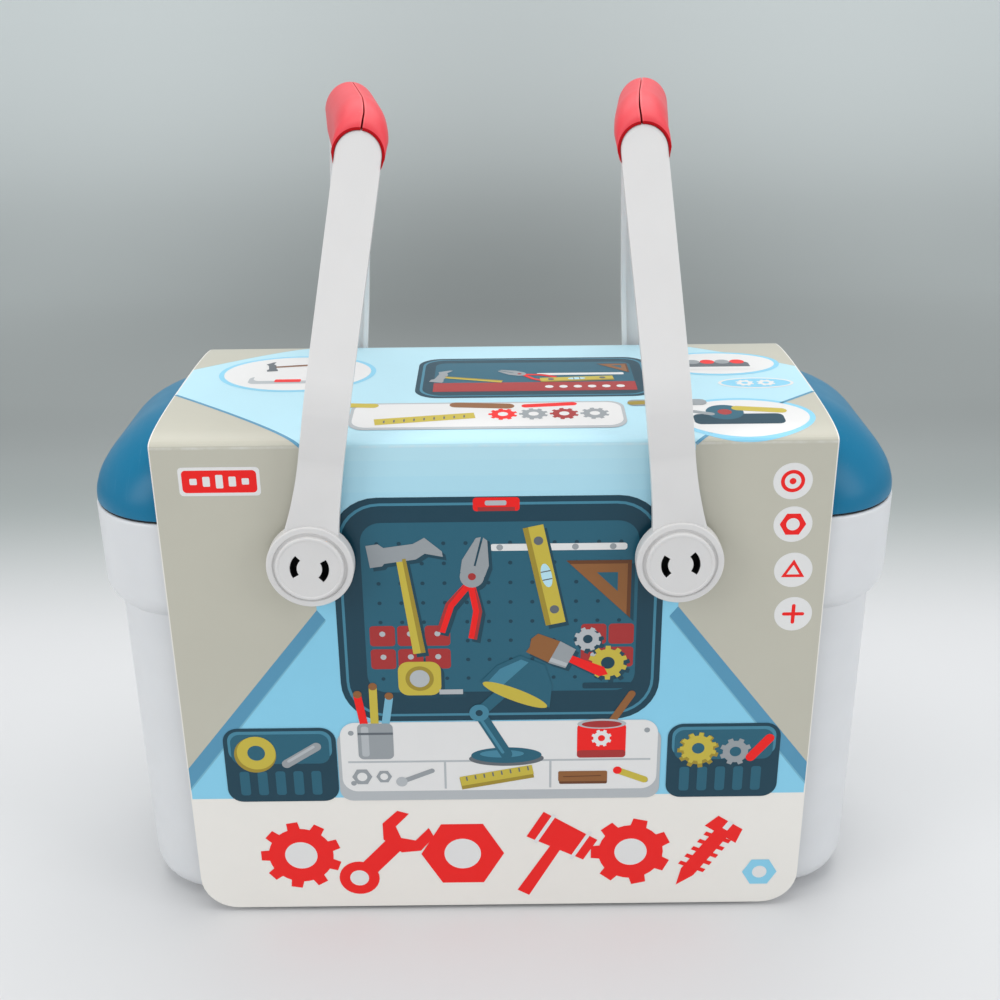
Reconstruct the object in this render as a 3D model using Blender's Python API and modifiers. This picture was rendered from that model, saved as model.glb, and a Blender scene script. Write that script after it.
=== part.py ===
"""Toy tool box with two folding carry handles, held shut by a printed card sleeve.

Metres, +Z up. X runs along the box, the front faces -Y, and the origin lies in the
middle of the base, on the surface that the box stands on.
"""
import math

import bmesh
import bpy
from mathutils import Matrix, Vector

# Gaps and cutting
fit_gap = 0.0003
free_gap = 0.0010
overrun = 0.0200
weld_distance = 0.00001
sliver = 0.00003
same_place = 0.000005

# Tub: a narrow lower body and a wider band round its top
tub_length = 0.3424
tub_depth = 0.1210
tub_wall = 0.0025
tub_floor = 0.0032
tub_corner = 0.0340
tub_bottom_round = 0.0160
band_overhang = 0.0060
band_bottom = 0.1548
band_round = 0.0125
ledge_rise = 0.0082
ledge_round = 0.0030
rim_height = 0.2025

# Pivot bosses on the band, one at each foot of the two handles
pivot_distance = 0.1548
pivot_drop = 0.0151
boss_radius = 0.0115
boss_height = 0.0047

# Lid: a dome over the band, with a short upright wall round its foot
lid_height = 0.0396
lid_wall = 0.0025
lid_inset = 0.0005
lid_upright = 0.0063
dome_reach_length = 0.0560
dome_reach_depth = 0.0450
dome_steps = 7

# Lid hinges: a lug of the lid between two lugs of the tub, twice, on pins
hinge_distance = 0.1000
hinge_set_in = 0.0045
lug_radius = 0.0040
lug_width = 0.0100
side_lug_width = 0.0050
hinge_pin_radius = 0.0015
hinge_pin_clearance = 0.0003

# Latch in the middle of the front
latch_width = 0.0360
latch_height = 0.0190
latch_drop = 0.0090
latch_corner = 0.0025
latch_lip = 0.0022
latch_pin_radius = 0.0006
latch_pin_reach = 0.0030

# Card sleeve: one folded card over the front, the top and the back, with an arched top
card_width = 0.2830
card_arch = 0.0061
card_arch_steps = 12
card_arch_shape_share = 2.7
card_thickness = 0.0008
card_standoff = 0.0010
card_ground_gap = 0.0022
card_corner = 0.0170
card_hole_gap = 0.0008

# Handles: each is an arch of two arms and a bar that carries a two-piece grip. The arch is
# slightly twisted: its rear arm stands more upright than its front arm.
lean_left = math.radians(9.0)
lean_right = math.radians(6.0)
twist_left = math.radians(4.3)
twist_right = math.radians(3.0)
twist_slices = 6
arm_width = 0.0184
arm_thickness = 0.0050
arm_rise = 0.1747
arm_bend_height = 0.0750
arm_lean_in_share = 0.32
arm_edge_round = 0.0010
flare_outer = 0.0062
flare_inner = 0.0024
flare_length = 0.0480
channel_wall = 0.0022
channel_depth = 0.0026
channel_foot = 0.0260
channel_drop = 0.0347
hub_radius = 0.0184
hub_proud = 0.0012
hub_edge = 0.0007
cap_radius = 0.01435
cap_proud = 0.0016
groove_width = 0.0013
groove_depth = 0.0009
hub_skin = 0.0030
finger_outer = 0.0056
finger_inner = 0.0036
finger_play = 0.0004
hook_reach = 0.0020
hook_length = 0.0030
hook_play = 0.0004
finger_width = 0.0076
slot_outer = 0.0081
slot_inner = 0.0059
slot_half_angle = math.radians(36)
bar_width = 0.0110
bar_height = 0.0080
bar_drop = 0.0040
grip_drop = 0.0152
grip_proud = 0.0005
grip_rim = 0.0013
grip_crown = 0.0092
grip_shoulder_rise = 0.0078
grip_foot_width = 0.0192
grip_swell = 0.0006
grip_foot_round = 0.0030
grip_end_share = 0.45
grip_wall = 0.0035
grip_hollow_end = 0.0120
grip_part_gap = 0.0003
grip_sections = 12

# Work tray: a white bench top with three compartments, on the ledge of the band
tray_side_gap = 0.0010
tray_flange = 0.0025
tray_flange_thickness = 0.0024
tray_depth = 0.0360
tray_wall = 0.0022
tray_corner = 0.0040
tray_inner_round = 0.0015
tray_middle_width = 0.1076

# Two slotted side trays on the floor of the tub
side_tray_room_middle = 0.1470
side_tray_depth = 0.1010
side_tray_height = 0.0460
side_tray_wall = 0.0020
side_tray_corner = 0.0180
side_tray_round = 0.0080
side_tray_end_gap = 0.0090
side_slot_count = 4
side_slot_width = 0.0050
side_slot_height = 0.0200
side_slot_pitch = 0.0120
side_slot_foot = 0.0170

# Peg rail inside the top of the lid
rail_length = 0.2300
rail_width = 0.0140
rail_thickness = 0.0040
rail_set_forward = 0.0130
peg_count = 5
peg_radius = 0.0030
peg_length = 0.0090
peg_head_radius = 0.0045
peg_head_thickness = 0.0020

# Rack basket, packed on the floor of the tub
rack_length = 0.0820
rack_depth = 0.0240
rack_height = 0.0300
rack_wall = 0.0020
rack_corner = 0.0060
rack_slot_count = 6
rack_slot_width = 0.0060
rack_slot_pitch = 0.0115
rack_slot_height = 0.0160
rack_slot_foot = 0.0070
rack_front_gap = 0.0075

# Drill press
press_x = -0.0470
press_y = 0.0140
press_base_length = 0.0500
press_base_depth = 0.0560
press_base_height = 0.0090
press_corner = 0.0080
press_column_radius = 0.0100
press_column_set_back = 0.0140
press_head_length = 0.0400
press_head_depth = 0.0520
press_head_height = 0.0380
press_head_round = 0.0060
press_throat = 0.0560
press_quill_radius = 0.0070
press_quill_set_forward = 0.0120
press_quill_length = 0.0340
press_quill_shown = 0.0140
press_quill_play = 0.0004
press_bit_radius = 0.0025
press_bit_length = 0.0120
press_lever_hub_radius = 0.0070
press_lever_hub_width = 0.0080
press_lever_axle_radius = 0.0030
press_lever_axle_reach = 0.0080
press_lever_length = 0.0260
press_lever_arm_radius = 0.0020
press_lever_knob_radius = 0.0037

# Vise
vise_x = 0.0200
vise_y = 0.0160
vise_base_length = 0.0640
vise_base_depth = 0.0380
vise_base_height = 0.0080
vise_corner = 0.0050
vise_jaw_depth = 0.0340
vise_jaw_height = 0.0300
vise_jaw_length = 0.0120
vise_jaw_round = 0.0020
vise_opening = 0.0160
vise_travel = 0.0120
vise_post_length = 0.0080
vise_post_depth = 0.0180
vise_screw_radius = 0.0040
vise_screw_play = 0.0004
vise_screw_rise = 0.0170
vise_screw_bury = 0.0060
vise_wheel_radius = 0.0120
vise_wheel_width = 0.0060
vise_wheel_grips = 6
vise_wheel_notch = 0.0030

# Toy drill, lying in the right-hand side tray
drill_thickness = 0.0260
drill_barrel_length = 0.0560
drill_barrel_width = 0.0260
drill_grip_length = 0.0340
drill_grip_width = 0.0200
drill_grip_slant = 0.0040
drill_round = 0.0030
drill_wall = 0.0024
drill_part_gap = 0.0003
drill_chuck_radius = 0.0085
drill_chuck_length = 0.0120
drill_shank_radius = 0.0040
drill_collar_radius = 0.0062
drill_shank_length = 0.0100
drill_shank_play = 0.0004
drill_bit_radius = 0.0030
drill_bit_length = 0.0140
trigger_width = 0.0080
trigger_length = 0.0130
trigger_shown = 0.0050
trigger_height = 0.0080
trigger_play = 0.0004
trigger_drop = 0.0060

# Screwdriver, in the left-hand side tray
driver_handle_length = 0.0460
driver_handle_radius = 0.0110
driver_neck_radius = 0.0065
driver_shaft_radius = 0.0035
driver_shaft_length = 0.0380
driver_shaft_bury = 0.0140
driver_flute_count = 6
driver_flute_radius = 0.0030
driver_flute_start_share = 0.30
driver_flute_length_share = 0.55
driver_profile_shares = ((0.0, 0.45), (0.04, 0.80), (0.14, 1.0), (0.60, 0.95), (0.72, 0.70))
driver_neck_shares = ((0.88, 1.0), (0.94, 1.3), (1.0, 1.3))
driver_tip_share = 0.35

# Capsule-shaped driver knob with a socket in one end
capsule_length = 0.0500
capsule_radius = 0.0120
capsule_socket_radius = 0.0050
capsule_socket_depth = 0.0200

# Hex bolts and the square nut
bolt_count = 2
bolt_head_radius = 0.0130
bolt_head_height = 0.0090
bolt_shank_radius = 0.0070
bolt_shank_length = 0.0340
bolt_thread_depth = 0.0012
bolt_thread_count = 6
bolt_slot_width = 0.0030
bolt_slot_depth = 0.0030
nut_size = 0.0260
nut_corner = 0.0022
nut_thickness = 0.0120
nut_hole_radius = 0.0080

# Open-ended wrench with its handle moulded on
wrench_thickness = 0.0060
wrench_head_radius = 0.0170
wrench_jaw_width = 0.0150
wrench_jaw_depth = 0.0180
wrench_neck_width = 0.0120
wrench_neck_length = 0.0440
wrench_handle_length = 0.0520
wrench_handle_width = 0.0180
wrench_handle_thickness = 0.0120
wrench_bury = 0.0180

# Saw
saw_blade_length = 0.0640
saw_blade_width = 0.0280
saw_blade_nose_share = 0.55
saw_blade_thickness = 0.0024
saw_tooth_count = 9
saw_tooth_depth = 0.0040
saw_bury = 0.0100
saw_handle_length = 0.0440
saw_handle_height = 0.0600
saw_handle_thickness = 0.0110
saw_handle_corner = 0.0120
saw_hole_length = 0.0200
saw_hole_height = 0.0340
saw_hole_corner = 0.0080

# Two-hole wood-look strips
strip_count = 2
strip_length = 0.1000
strip_width = 0.0380
strip_thickness = 0.0080
strip_corner = 0.0090
strip_hole_radius = 0.0130
strip_hole_distance = 0.0540

# Marking knife
knife_handle_length = 0.0660
knife_handle_width = 0.0130
knife_handle_thickness = 0.0090
knife_handle_corner = 0.0052
knife_blade_length = 0.0340
knife_blade_width = 0.0090
knife_blade_thickness = 0.0016
knife_bury = 0.0100

# Places of the loose pieces in the work tray
tray_item_gap = 0.0040

# Finishes: base colour, roughness and metallic
finishes = {
    "shell_white": ((0.78, 0.79, 0.80), 0.38, 0.0),
    "lid_blue": ((0.02, 0.16, 0.33), 0.32, 0.0),
    "grip_red": ((0.72, 0.04, 0.05), 0.40, 0.0),
    "card_print": ((0.48, 0.62, 0.66), 0.30, 0.0),
    "tool_dark_blue": ((0.03, 0.10, 0.16), 0.45, 0.0),
    "tool_light_blue": ((0.25, 0.42, 0.62), 0.45, 0.0),
    "tool_yellow": ((0.66, 0.52, 0.10), 0.42, 0.0),
    "tool_grey": ((0.30, 0.31, 0.32), 0.45, 0.0),
    "tool_red": ((0.55, 0.03, 0.04), 0.42, 0.0),
    "tool_brown": ((0.22, 0.10, 0.04), 0.55, 0.0),
    "pin_steel": ((0.62, 0.62, 0.63), 0.30, 1.0),
}

# Sizes that follow from the ones above
half_turn = math.pi
quarter_turn = math.pi / 2
band_length = tub_length + 2 * band_overhang
band_depth = tub_depth + 2 * band_overhang
ledge_height = band_bottom + ledge_rise
seam_height = rim_height + fit_gap
pivot_height = rim_height - pivot_drop
lid_top = seam_height + lid_height
boss_face = band_depth / 2 + boss_height
hub_back = boss_face + fit_gap
channel_head = arm_rise - channel_drop
grip_bottom_rise = arm_rise - grip_drop
hook_start = hub_back - (band_depth / 2 - tub_wall) + hook_play
hinge_y = band_depth / 2 - hinge_set_in
card_inner = band_depth / 2 + card_standoff
card_top = lid_top + fit_gap + card_thickness
tray_bottom = ledge_height + fit_gap + tray_flange_thickness - tray_depth
tray_floor = tray_bottom + tray_wall
floor_seat = tub_floor + fit_gap
tray_seat = tray_floor + fit_gap
side_tray_length = (tub_length - side_tray_room_middle) / 2 - tub_wall - side_tray_end_gap
side_tray_x = tub_length / 2 - tub_wall - side_tray_end_gap - side_tray_length / 2


def clear_scene():
    for obj in list(bpy.data.objects):
        bpy.data.objects.remove(obj, do_unlink=True)


def make_collection(name):
    collection = bpy.data.collections.new(name)
    bpy.context.scene.collection.children.link(collection)
    return collection


clear_scene()
parts = make_collection("toy_tool_box")
cutters = make_collection("cutters")


def make_material(name, colour, roughness, metallic):
    material = bpy.data.materials.new(name)
    material.use_nodes = True
    shader = material.node_tree.nodes["Principled BSDF"]
    shader.inputs["Base Color"].default_value = (*colour, 1.0)
    shader.inputs["Roughness"].default_value = roughness
    shader.inputs["Metallic"].default_value = metallic
    return material


materials = {name: make_material(name, *finish) for name, finish in finishes.items()}


def mesh_object(bm, name):
    """Turn a bmesh into an object of the cutters collection."""
    mesh = bpy.data.meshes.new(name)
    bm.to_mesh(mesh)
    bm.free()
    obj = bpy.data.objects.new(name, mesh)
    cutters.objects.link(obj)
    return obj


def make_part(obj, name, material, parent=None):
    """Name an object as a piece of the box and give it its material."""
    obj.name = name
    obj.data.name = name
    obj.data.materials.clear()
    obj.data.materials.append(materials[material])
    obj.parent = parent
    cutters.objects.unlink(obj)
    parts.objects.link(obj)
    obj.data.shade_smooth()
    obj.data.set_sharp_from_angle(angle=math.radians(35))
    if any(modifier.type == "BOOLEAN" and modifier.solver == "EXACT" for modifier in obj.modifiers):
        weld = obj.modifiers.new("weld slivers", "WELD")
        weld.merge_threshold = sliver
    return obj


def make_pivot(name, location, turn=0.0, parent=None):
    """An empty on a joint's axis, turned about Y."""
    pivot = bpy.data.objects.new(name, None)
    pivot.empty_display_size = boss_radius
    parts.objects.link(pivot)
    pivot.location = location
    pivot.rotation_euler = (0, turn, 0)
    pivot.parent = parent
    return pivot


def boolean(obj, other, operation, solver="EXACT"):
    """Cut, join or keep what is common, with the other object as a guide."""
    modifier = obj.modifiers.new(operation.lower(), "BOOLEAN")
    modifier.operation = operation
    modifier.solver = solver
    modifier.object = other
    other.hide_render = True
    other.display_type = "WIRE"
    return obj


def cut(obj, *others):
    for other in others:
        boolean(obj, other, "DIFFERENCE")
    return obj


def join(obj, *others):
    for other in others:
        boolean(obj, other, "UNION")
    return obj


def baked(obj):
    """Replace an object by the plain mesh that its modifiers or its curve give."""
    bpy.context.view_layer.update()
    graph = bpy.context.evaluated_depsgraph_get()
    mesh = bpy.data.meshes.new_from_object(obj.evaluated_get(graph))
    bm = bmesh.new()
    bm.from_mesh(mesh)
    bmesh.ops.remove_doubles(bm, verts=bm.verts, dist=weld_distance)
    bm.to_mesh(mesh)
    bm.free()
    plain = bpy.data.objects.new(obj.name + "_mesh", mesh)
    cutters.objects.link(plain)
    plain.matrix_world = obj.matrix_world
    bpy.data.objects.remove(obj, do_unlink=True)
    return plain


def bevel(bm, edges, radius, steps):
    bmesh.ops.bevel(bm, geom=edges, offset=radius, offset_type="OFFSET", segments=steps,
                    profile=0.5, affect="EDGES", clamp_overlap=True)


def level_edges(bm, height):
    return [edge for edge in bm.edges
            if all(abs(vert.co.z - height) < same_place for vert in edge.verts)]


def block(name, size, corner=0.0, bottom=0.0, top=0.0, corner_steps=6, edge_steps=3):
    """A box that stands on its origin, with round upright corners and round edges."""
    bm = bmesh.new()
    bmesh.ops.create_cube(bm, size=1.0)
    bmesh.ops.scale(bm, vec=size, verts=bm.verts)
    bmesh.ops.translate(bm, vec=(0, 0, size[2] / 2), verts=bm.verts)
    if corner > 0:
        upright = [edge for edge in bm.edges
                   if abs(edge.verts[0].co.z - edge.verts[1].co.z) > size[2] / 2]
        bevel(bm, upright, corner, corner_steps)
    if bottom > 0:
        bevel(bm, level_edges(bm, 0), bottom, edge_steps)
    if top > 0:
        bevel(bm, level_edges(bm, size[2]), top, edge_steps)
    return mesh_object(bm, name)


def rod(name, radius, length, sides=24):
    """A cylinder along Z that starts at its origin."""
    bm = bmesh.new()
    bmesh.ops.create_cone(bm, cap_ends=True, segments=sides, radius1=radius, radius2=radius,
                          depth=length)
    bmesh.ops.translate(bm, vec=(0, 0, length / 2), verts=bm.verts)
    return mesh_object(bm, name)


def turned(name, profile, steps=24):
    """A turned piece about Z. The profile runs down its outer side, top to bottom."""
    bm = bmesh.new()
    verts = [bm.verts.new((radius, 0, height)) for radius, height in profile]
    for first, second in zip(verts, verts[1:]):
        bm.edges.new((first, second))
    obj = mesh_object(bm, name)
    screw = obj.modifiers.new("turn", "SCREW")
    screw.steps = steps
    screw.render_steps = steps
    screw.use_merge_vertices = True
    screw.merge_threshold = weld_distance
    return baked(obj)


def plate(name, outlines, thickness):
    """A flat piece in XY, centred on Z = 0. Outlines after the first are holes."""
    curve = bpy.data.curves.new(name, "CURVE")
    curve.dimensions = "2D"
    curve.fill_mode = "BOTH"
    curve.extrude = thickness / 2
    for outline in outlines:
        spline = curve.splines.new("POLY")
        spline.points.add(len(outline) - 1)
        for point, (x, y) in zip(spline.points, outline):
            point.co = (x, y, 0, 1)
        spline.use_cyclic_u = True
    obj = bpy.data.objects.new(name, curve)
    cutters.objects.link(obj)
    return baked(obj)


def arc(centre, radius, start, end, steps):
    """Points along an arc, both ends included."""
    turns = [start + (end - start) * step / steps for step in range(steps + 1)]
    return [(centre[0] + radius * math.cos(turn), centre[1] + radius * math.sin(turn))
            for turn in turns]


def circle(centre, radius, steps):
    """Points round a whole circle, each once."""
    return arc(centre, radius, 0, 2 * half_turn, steps)[:-1]


def round_rectangle(length, height, corner, steps=5, centre=(0.0, 0.0)):
    x, y = length / 2 - corner, height / 2 - corner
    points = []
    for turn, (side_x, side_y) in enumerate(((1, 1), (-1, 1), (-1, -1), (1, -1))):
        middle = (centre[0] + side_x * x, centre[1] + side_y * y)
        points += arc(middle, corner, turn * quarter_turn, (turn + 1) * quarter_turn, steps)
    return points


def loft(name, rings):
    """A closed form through rings of equally many points."""
    bm = bmesh.new()
    loops = [[bm.verts.new(point) for point in ring] for ring in rings]
    count = len(loops[0])
    for first, second in zip(loops, loops[1:]):
        for index in range(count):
            after = (index + 1) % count
            bm.faces.new((first[index], first[after], second[after], second[index]))
    bm.faces.new(list(reversed(loops[0])))
    bm.faces.new(loops[-1])
    bmesh.ops.recalc_face_normals(bm, faces=bm.faces)
    return mesh_object(bm, name)


def placed(obj, location=(0, 0, 0), rotation=(0, 0, 0), parent=None):
    obj.location = location
    obj.rotation_euler = rotation
    obj.parent = parent
    return obj


def pivot_places():
    """The four handle pivots: side in X, and front or back in Y."""
    return [(side_x, side_y) for side_x in (-1, 1) for side_y in (-1, 1)]


def make_tub():
    tub = block("tub", (tub_length, tub_depth, ledge_height), corner=tub_corner,
                bottom=tub_bottom_round, corner_steps=6, edge_steps=3)
    band = block("tub_band", (band_length, band_depth, rim_height - band_bottom),
                 corner=tub_corner + band_overhang, bottom=band_round, corner_steps=6, edge_steps=3)
    join(tub, placed(band, (0, 0, band_bottom)))
    for side_x, side_y in pivot_places():
        boss = rod("tub_boss", boss_radius, boss_height + tub_wall)
        place = (side_x * pivot_distance / 2, side_y * (boss_face - boss_height - tub_wall), pivot_height)
        join(tub, placed(boss, place, (-side_y * quarter_turn, 0, 0)))
    upper = block("tub_upper_room", (band_length - 2 * tub_wall, band_depth - 2 * tub_wall, lid_top),
                  corner=tub_corner + band_overhang - tub_wall, bottom=ledge_round,
                  corner_steps=6, edge_steps=2)
    lower = block("tub_lower_room", (tub_length - 2 * tub_wall, tub_depth - 2 * tub_wall,
                                     ledge_height + ledge_round - tub_floor),
                  corner=tub_corner - tub_wall, bottom=tub_bottom_round - tub_wall,
                  corner_steps=6, edge_steps=3)
    cut(tub, placed(upper, (0, 0, ledge_height)), placed(lower, (0, 0, tub_floor)))
    for side_x, side_y in pivot_places():
        bore = rod("tub_pivot_bore", finger_outer + finger_play, boss_face + overrun, sides=20)
        place = (side_x * pivot_distance / 2, side_y * tub_depth / 4, pivot_height)
        cut(tub, placed(bore, place, (-side_y * quarter_turn, 0, 0)))
    notch = block("tub_latch_notch", (latch_width + 2 * fit_gap, 2 * tub_wall + overrun, overrun))
    cut(tub, placed(notch, (0, -band_depth / 2, rim_height - latch_drop)))
    for side in (-1, 1):
        centre = side * hinge_distance / 2
        length = lug_width + 2 * side_lug_width
        lug = rod("tub_lug", lug_radius, length, sides=12)
        join(tub, placed(lug, (centre - length / 2, hinge_y, seam_height), (0, quarter_turn, 0)))
        recess = block("tub_hinge_recess", (lug_width + 2 * fit_gap, 2 * (hinge_set_in + free_gap), overrun))
        cut(tub, placed(recess, (centre, hinge_y, rim_height - lug_radius - free_gap)))
        cut(tub, hinge_bore("tub_pin_bore", centre))
    return make_part(tub, "tub", "shell_white")


def hinge_bore(name, centre):
    length = lug_width + 2 * side_lug_width + overrun
    bore = rod(name, hinge_pin_radius + hinge_pin_clearance, length, sides=12)
    return placed(bore, (centre - length / 2, hinge_y, seam_height), (0, quarter_turn, 0))


def dome(name, length, depth, corner, foot, upright, reach, top):
    """A closed dome: rounded rectangles that draw in along a quarter of an ellipse."""
    rings = []
    for height in (foot, upright):
        rings.append([(x, y, height) for x, y in round_rectangle(length, depth, corner, 6)])
    for step in range(1, dome_steps + 1):
        turn = quarter_turn * step / dome_steps
        in_x = reach[0] * (1 - math.cos(turn))
        in_y = reach[1] * (1 - math.cos(turn))
        height = upright + (top - upright) * math.sin(turn)
        ring_corner = corner * (1 - in_y / (depth / 2))
        outline = round_rectangle(length - 2 * in_x, depth - 2 * in_y, ring_corner, 6)
        rings.append([(x, y, height) for x, y in outline])
    return loft(name, rings)


def make_lid():
    length = band_length - 2 * lid_inset
    depth = band_depth - 2 * lid_inset
    corner = tub_corner + band_overhang - lid_inset
    reach = (dome_reach_length, dome_reach_depth)
    inner_reach = (dome_reach_length - lid_wall, dome_reach_depth - lid_wall)
    lid = dome("lid", length, depth, corner, 0, lid_upright, reach, lid_height)
    room = dome("lid_room", length - 2 * lid_wall, depth - 2 * lid_wall, corner - lid_wall, -overrun,
                lid_upright, inner_reach, lid_height - lid_wall)
    placed(lid, (0, 0, seam_height))
    cut(lid, placed(room, (0, 0, seam_height)))
    notch = block("lid_latch_notch", (latch_width + 2 * fit_gap, lid_wall + overrun, latch_height
                                      - latch_drop + overrun))
    cut(lid, placed(notch, (0, -band_depth / 2, seam_height - overrun)))
    for side in (-1, 1):
        centre = side * hinge_distance / 2
        for lug_side in (-1, 1):
            recess = block("lid_hinge_recess", (side_lug_width + 2 * fit_gap,
                                                2 * (hinge_set_in + free_gap), overrun))
            place = centre + lug_side * (lug_width + side_lug_width) / 2
            cut(lid, placed(recess, (place, hinge_y, seam_height + lug_radius + free_gap - overrun)))
        lug = rod("lid_lug", lug_radius, lug_width, sides=12)
        join(lid, placed(lug, (centre - lug_width / 2, hinge_y, seam_height), (0, quarter_turn, 0)))
        cut(lid, hinge_bore("lid_pin_bore", centre))
    pin_bore = rod("lid_latch_bore", latch_pin_radius + hinge_pin_clearance / 2,
                   latch_width + 2 * latch_pin_reach + fit_gap, sides=12)
    place = (-latch_width / 2 - latch_pin_reach - fit_gap / 2, latch_y(), latch_pin_height())
    cut(lid, placed(pin_bore, place, (0, quarter_turn, 0)))
    return make_part(lid, "lid", "lid_blue")


def latch_y():
    return -(band_depth / 2 - lid_inset - lid_wall / 2)


def latch_top():
    return seam_height + latch_height - latch_drop - fit_gap


def latch_pin_height():
    return latch_top() - latch_corner


def make_hinge_pins():
    length = lug_width + 2 * side_lug_width
    for side, side_name in ((-1, "left"), (1, "right")):
        pin = rod("hinge_pin", hinge_pin_radius, length, sides=12)
        placed(pin, (side * hinge_distance / 2 - length / 2, hinge_y, seam_height), (0, quarter_turn, 0))
        make_part(pin, "lid_hinge_pin_" + side_name, "pin_steel")


def make_latch():
    thickness = lid_wall - fit_gap
    outline = round_rectangle(latch_width, latch_height - 2 * fit_gap, latch_corner, steps=3)
    latch = plate("latch", [outline], thickness)
    middle = latch_top() - (latch_height - 2 * fit_gap) / 2
    placed(latch, (0, latch_y(), middle), (quarter_turn, 0, 0))
    lip = block("latch_lip", (latch_width - 2 * latch_corner, latch_lip, latch_lip))
    lip_y = latch_y() + thickness / 2 + latch_lip / 2 - fit_gap
    join(latch, placed(lip, (0, lip_y, latch_top() - latch_height + 2 * fit_gap + latch_corner)))
    bore = rod("latch_bore", latch_pin_radius + hinge_pin_clearance / 2, latch_width + overrun, sides=12)
    cut(latch, placed(bore, (-(latch_width + overrun) / 2, latch_y(), latch_pin_height()),
                      (0, quarter_turn, 0)))
    return make_part(latch, "lid_latch", "tool_red")


def make_latch_pin():
    length = latch_width + 2 * latch_pin_reach
    pin = rod("latch_pin", latch_pin_radius, length, sides=12)
    placed(pin, (-length / 2, latch_y(), latch_pin_height()), (0, quarter_turn, 0))
    return make_part(pin, "lid_latch_pin", "pin_steel")


def card_profile():
    """The folded card from the front's lower edge over the arched top to the back's lower edge."""
    outer = card_inner + card_thickness
    points = [(-outer, card_ground_gap)]
    for step in range(card_arch_steps + 1):
        turn = half_turn * (1 - step / card_arch_steps)
        along = math.cos(turn)
        arch = (1 - abs(along) ** card_arch_shape_share) ** (1 / card_arch_shape_share)
        points.append((outer * along, card_top - card_arch + card_arch * arch))
    return points + [(outer, card_ground_gap)]


def make_card():
    curve = bpy.data.curves.new("card", "CURVE")
    curve.dimensions = "2D"
    curve.fill_mode = "NONE"
    curve.extrude = card_width / 2
    profile = card_profile()
    spline = curve.splines.new("POLY")
    spline.points.add(len(profile) - 1)
    for point, (y, z) in zip(spline.points, profile):
        point.co = (y, z, 0, 1)
    card = bpy.data.objects.new("card", curve)
    cutters.objects.link(card)
    card.matrix_world = Matrix(((0, 0, 1, 0), (1, 0, 0, 0), (0, 1, 0, 0), (0, 0, 0, 1)))
    card = baked(card)
    solidify = card.modifiers.new("thickness", "SOLIDIFY")
    solidify.thickness = card_thickness
    solidify.offset = -1
    solidify.use_even_offset = True
    corner_height = 2 * (card_top + overrun - card_ground_gap)
    reach = card_inner + overrun
    window = plate("card_window", [round_rectangle(card_width + fit_gap, corner_height, card_corner, 6)],
                   2 * reach)
    placed(window, (0, 0, card_ground_gap - fit_gap + corner_height / 2), (quarter_turn, 0, 0))
    boolean(card, window, "INTERSECT")
    for side_x in (-1, 1):
        hole = rod("card_hole", boss_radius + card_hole_gap, 2 * reach)
        place = (side_x * pivot_distance / 2, reach, pivot_height)
        cut(card, placed(hole, place, (quarter_turn, 0, 0)))
    return make_part(card, "card_sleeve", "card_print")


def arm_half_width(height, flare):
    """Half the arm's width on one side, wider near the hub."""
    if height >= flare_length:
        return arm_width / 2
    return arm_width / 2 + flare * (1 - height / flare_length) ** 2


def arm_outline(inset, foot, head, outer_side):
    """Outline of an arm, or of its channel, from the hub's centre up to its round head."""
    heights = [foot + (flare_length - foot) * step / 4 for step in range(4)] + [flare_length]
    outer = [(outer_side * (arm_half_width(z, flare_outer) - inset), z) for z in heights]
    inner = [(-outer_side * (arm_half_width(z, flare_inner) - inset), z) for z in reversed(heights)]
    radius = arm_width / 2 - inset
    start = half_turn if outer_side < 0 else 0
    end = 0 if outer_side < 0 else half_turn
    top = arc((0, head - radius), radius, start, end, 6)
    return outer + top + inner


def lean_in(obj):
    """Bend an upright arm towards the middle of the box above the bend height."""
    bm = bmesh.new()
    bm.from_mesh(obj.data)
    geometry = list(bm.verts) + list(bm.edges) + list(bm.faces)
    bmesh.ops.bisect_plane(bm, geom=geometry, plane_co=(0, 0, arm_bend_height), plane_no=(0, 0, 1))
    for vert in bm.verts:
        vert.co.y += arm_lean_in_share * max(0, vert.co.z - arm_bend_height)
    bm.to_mesh(obj.data)
    bm.free()
    return obj


def upright(obj, y):
    """Turn a plate from XY to XZ inside its mesh, with its face towards the front."""
    obj.data.transform(Matrix.Translation((0, y, 0)) @ Matrix.Rotation(quarter_turn, 4, "X"))
    return obj


def round_front_edges(obj, y):
    bm = bmesh.new()
    bm.from_mesh(obj.data)
    ring = [edge for edge in bm.edges if len(edge.link_faces) == 2
            and all(abs(vert.co.y - y) < same_place for vert in edge.verts)
            and edge.calc_face_angle(0) > quarter_turn / 2]
    bevel(bm, ring, arm_edge_round, 2)
    bm.to_mesh(obj.data)
    bm.free()
    return obj


def hub_profile():
    """Radius and height out from the hub's back face, from the cap down to the hooks."""
    face = arm_thickness + hub_proud
    cap = face + cap_proud
    return [(0, cap), (cap_radius - hub_edge, cap), (cap_radius, cap - hub_edge),
            (cap_radius, face - groove_depth), (cap_radius + groove_width, face - groove_depth),
            (cap_radius + groove_width, face), (hub_radius - hub_edge, face),
            (hub_radius, face - hub_edge), (hub_radius, 0), (finger_outer, 0),
            (finger_outer, -hook_start), (finger_outer + hook_reach, -hook_start),
            (finger_outer, -hook_start - hook_length), (finger_inner, -hook_start - hook_length),
            (finger_inner, cap - hub_skin), (0, cap - hub_skin)]


def slot_outline(side):
    """One arc-shaped slot of the hub's cap."""
    middle = 0 if side > 0 else half_turn
    outer = arc((0, 0), slot_outer, middle - slot_half_angle, middle + slot_half_angle, 3)
    inner = arc((0, 0), slot_inner, middle + slot_half_angle, middle - slot_half_angle, 3)
    return outer + inner


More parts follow.
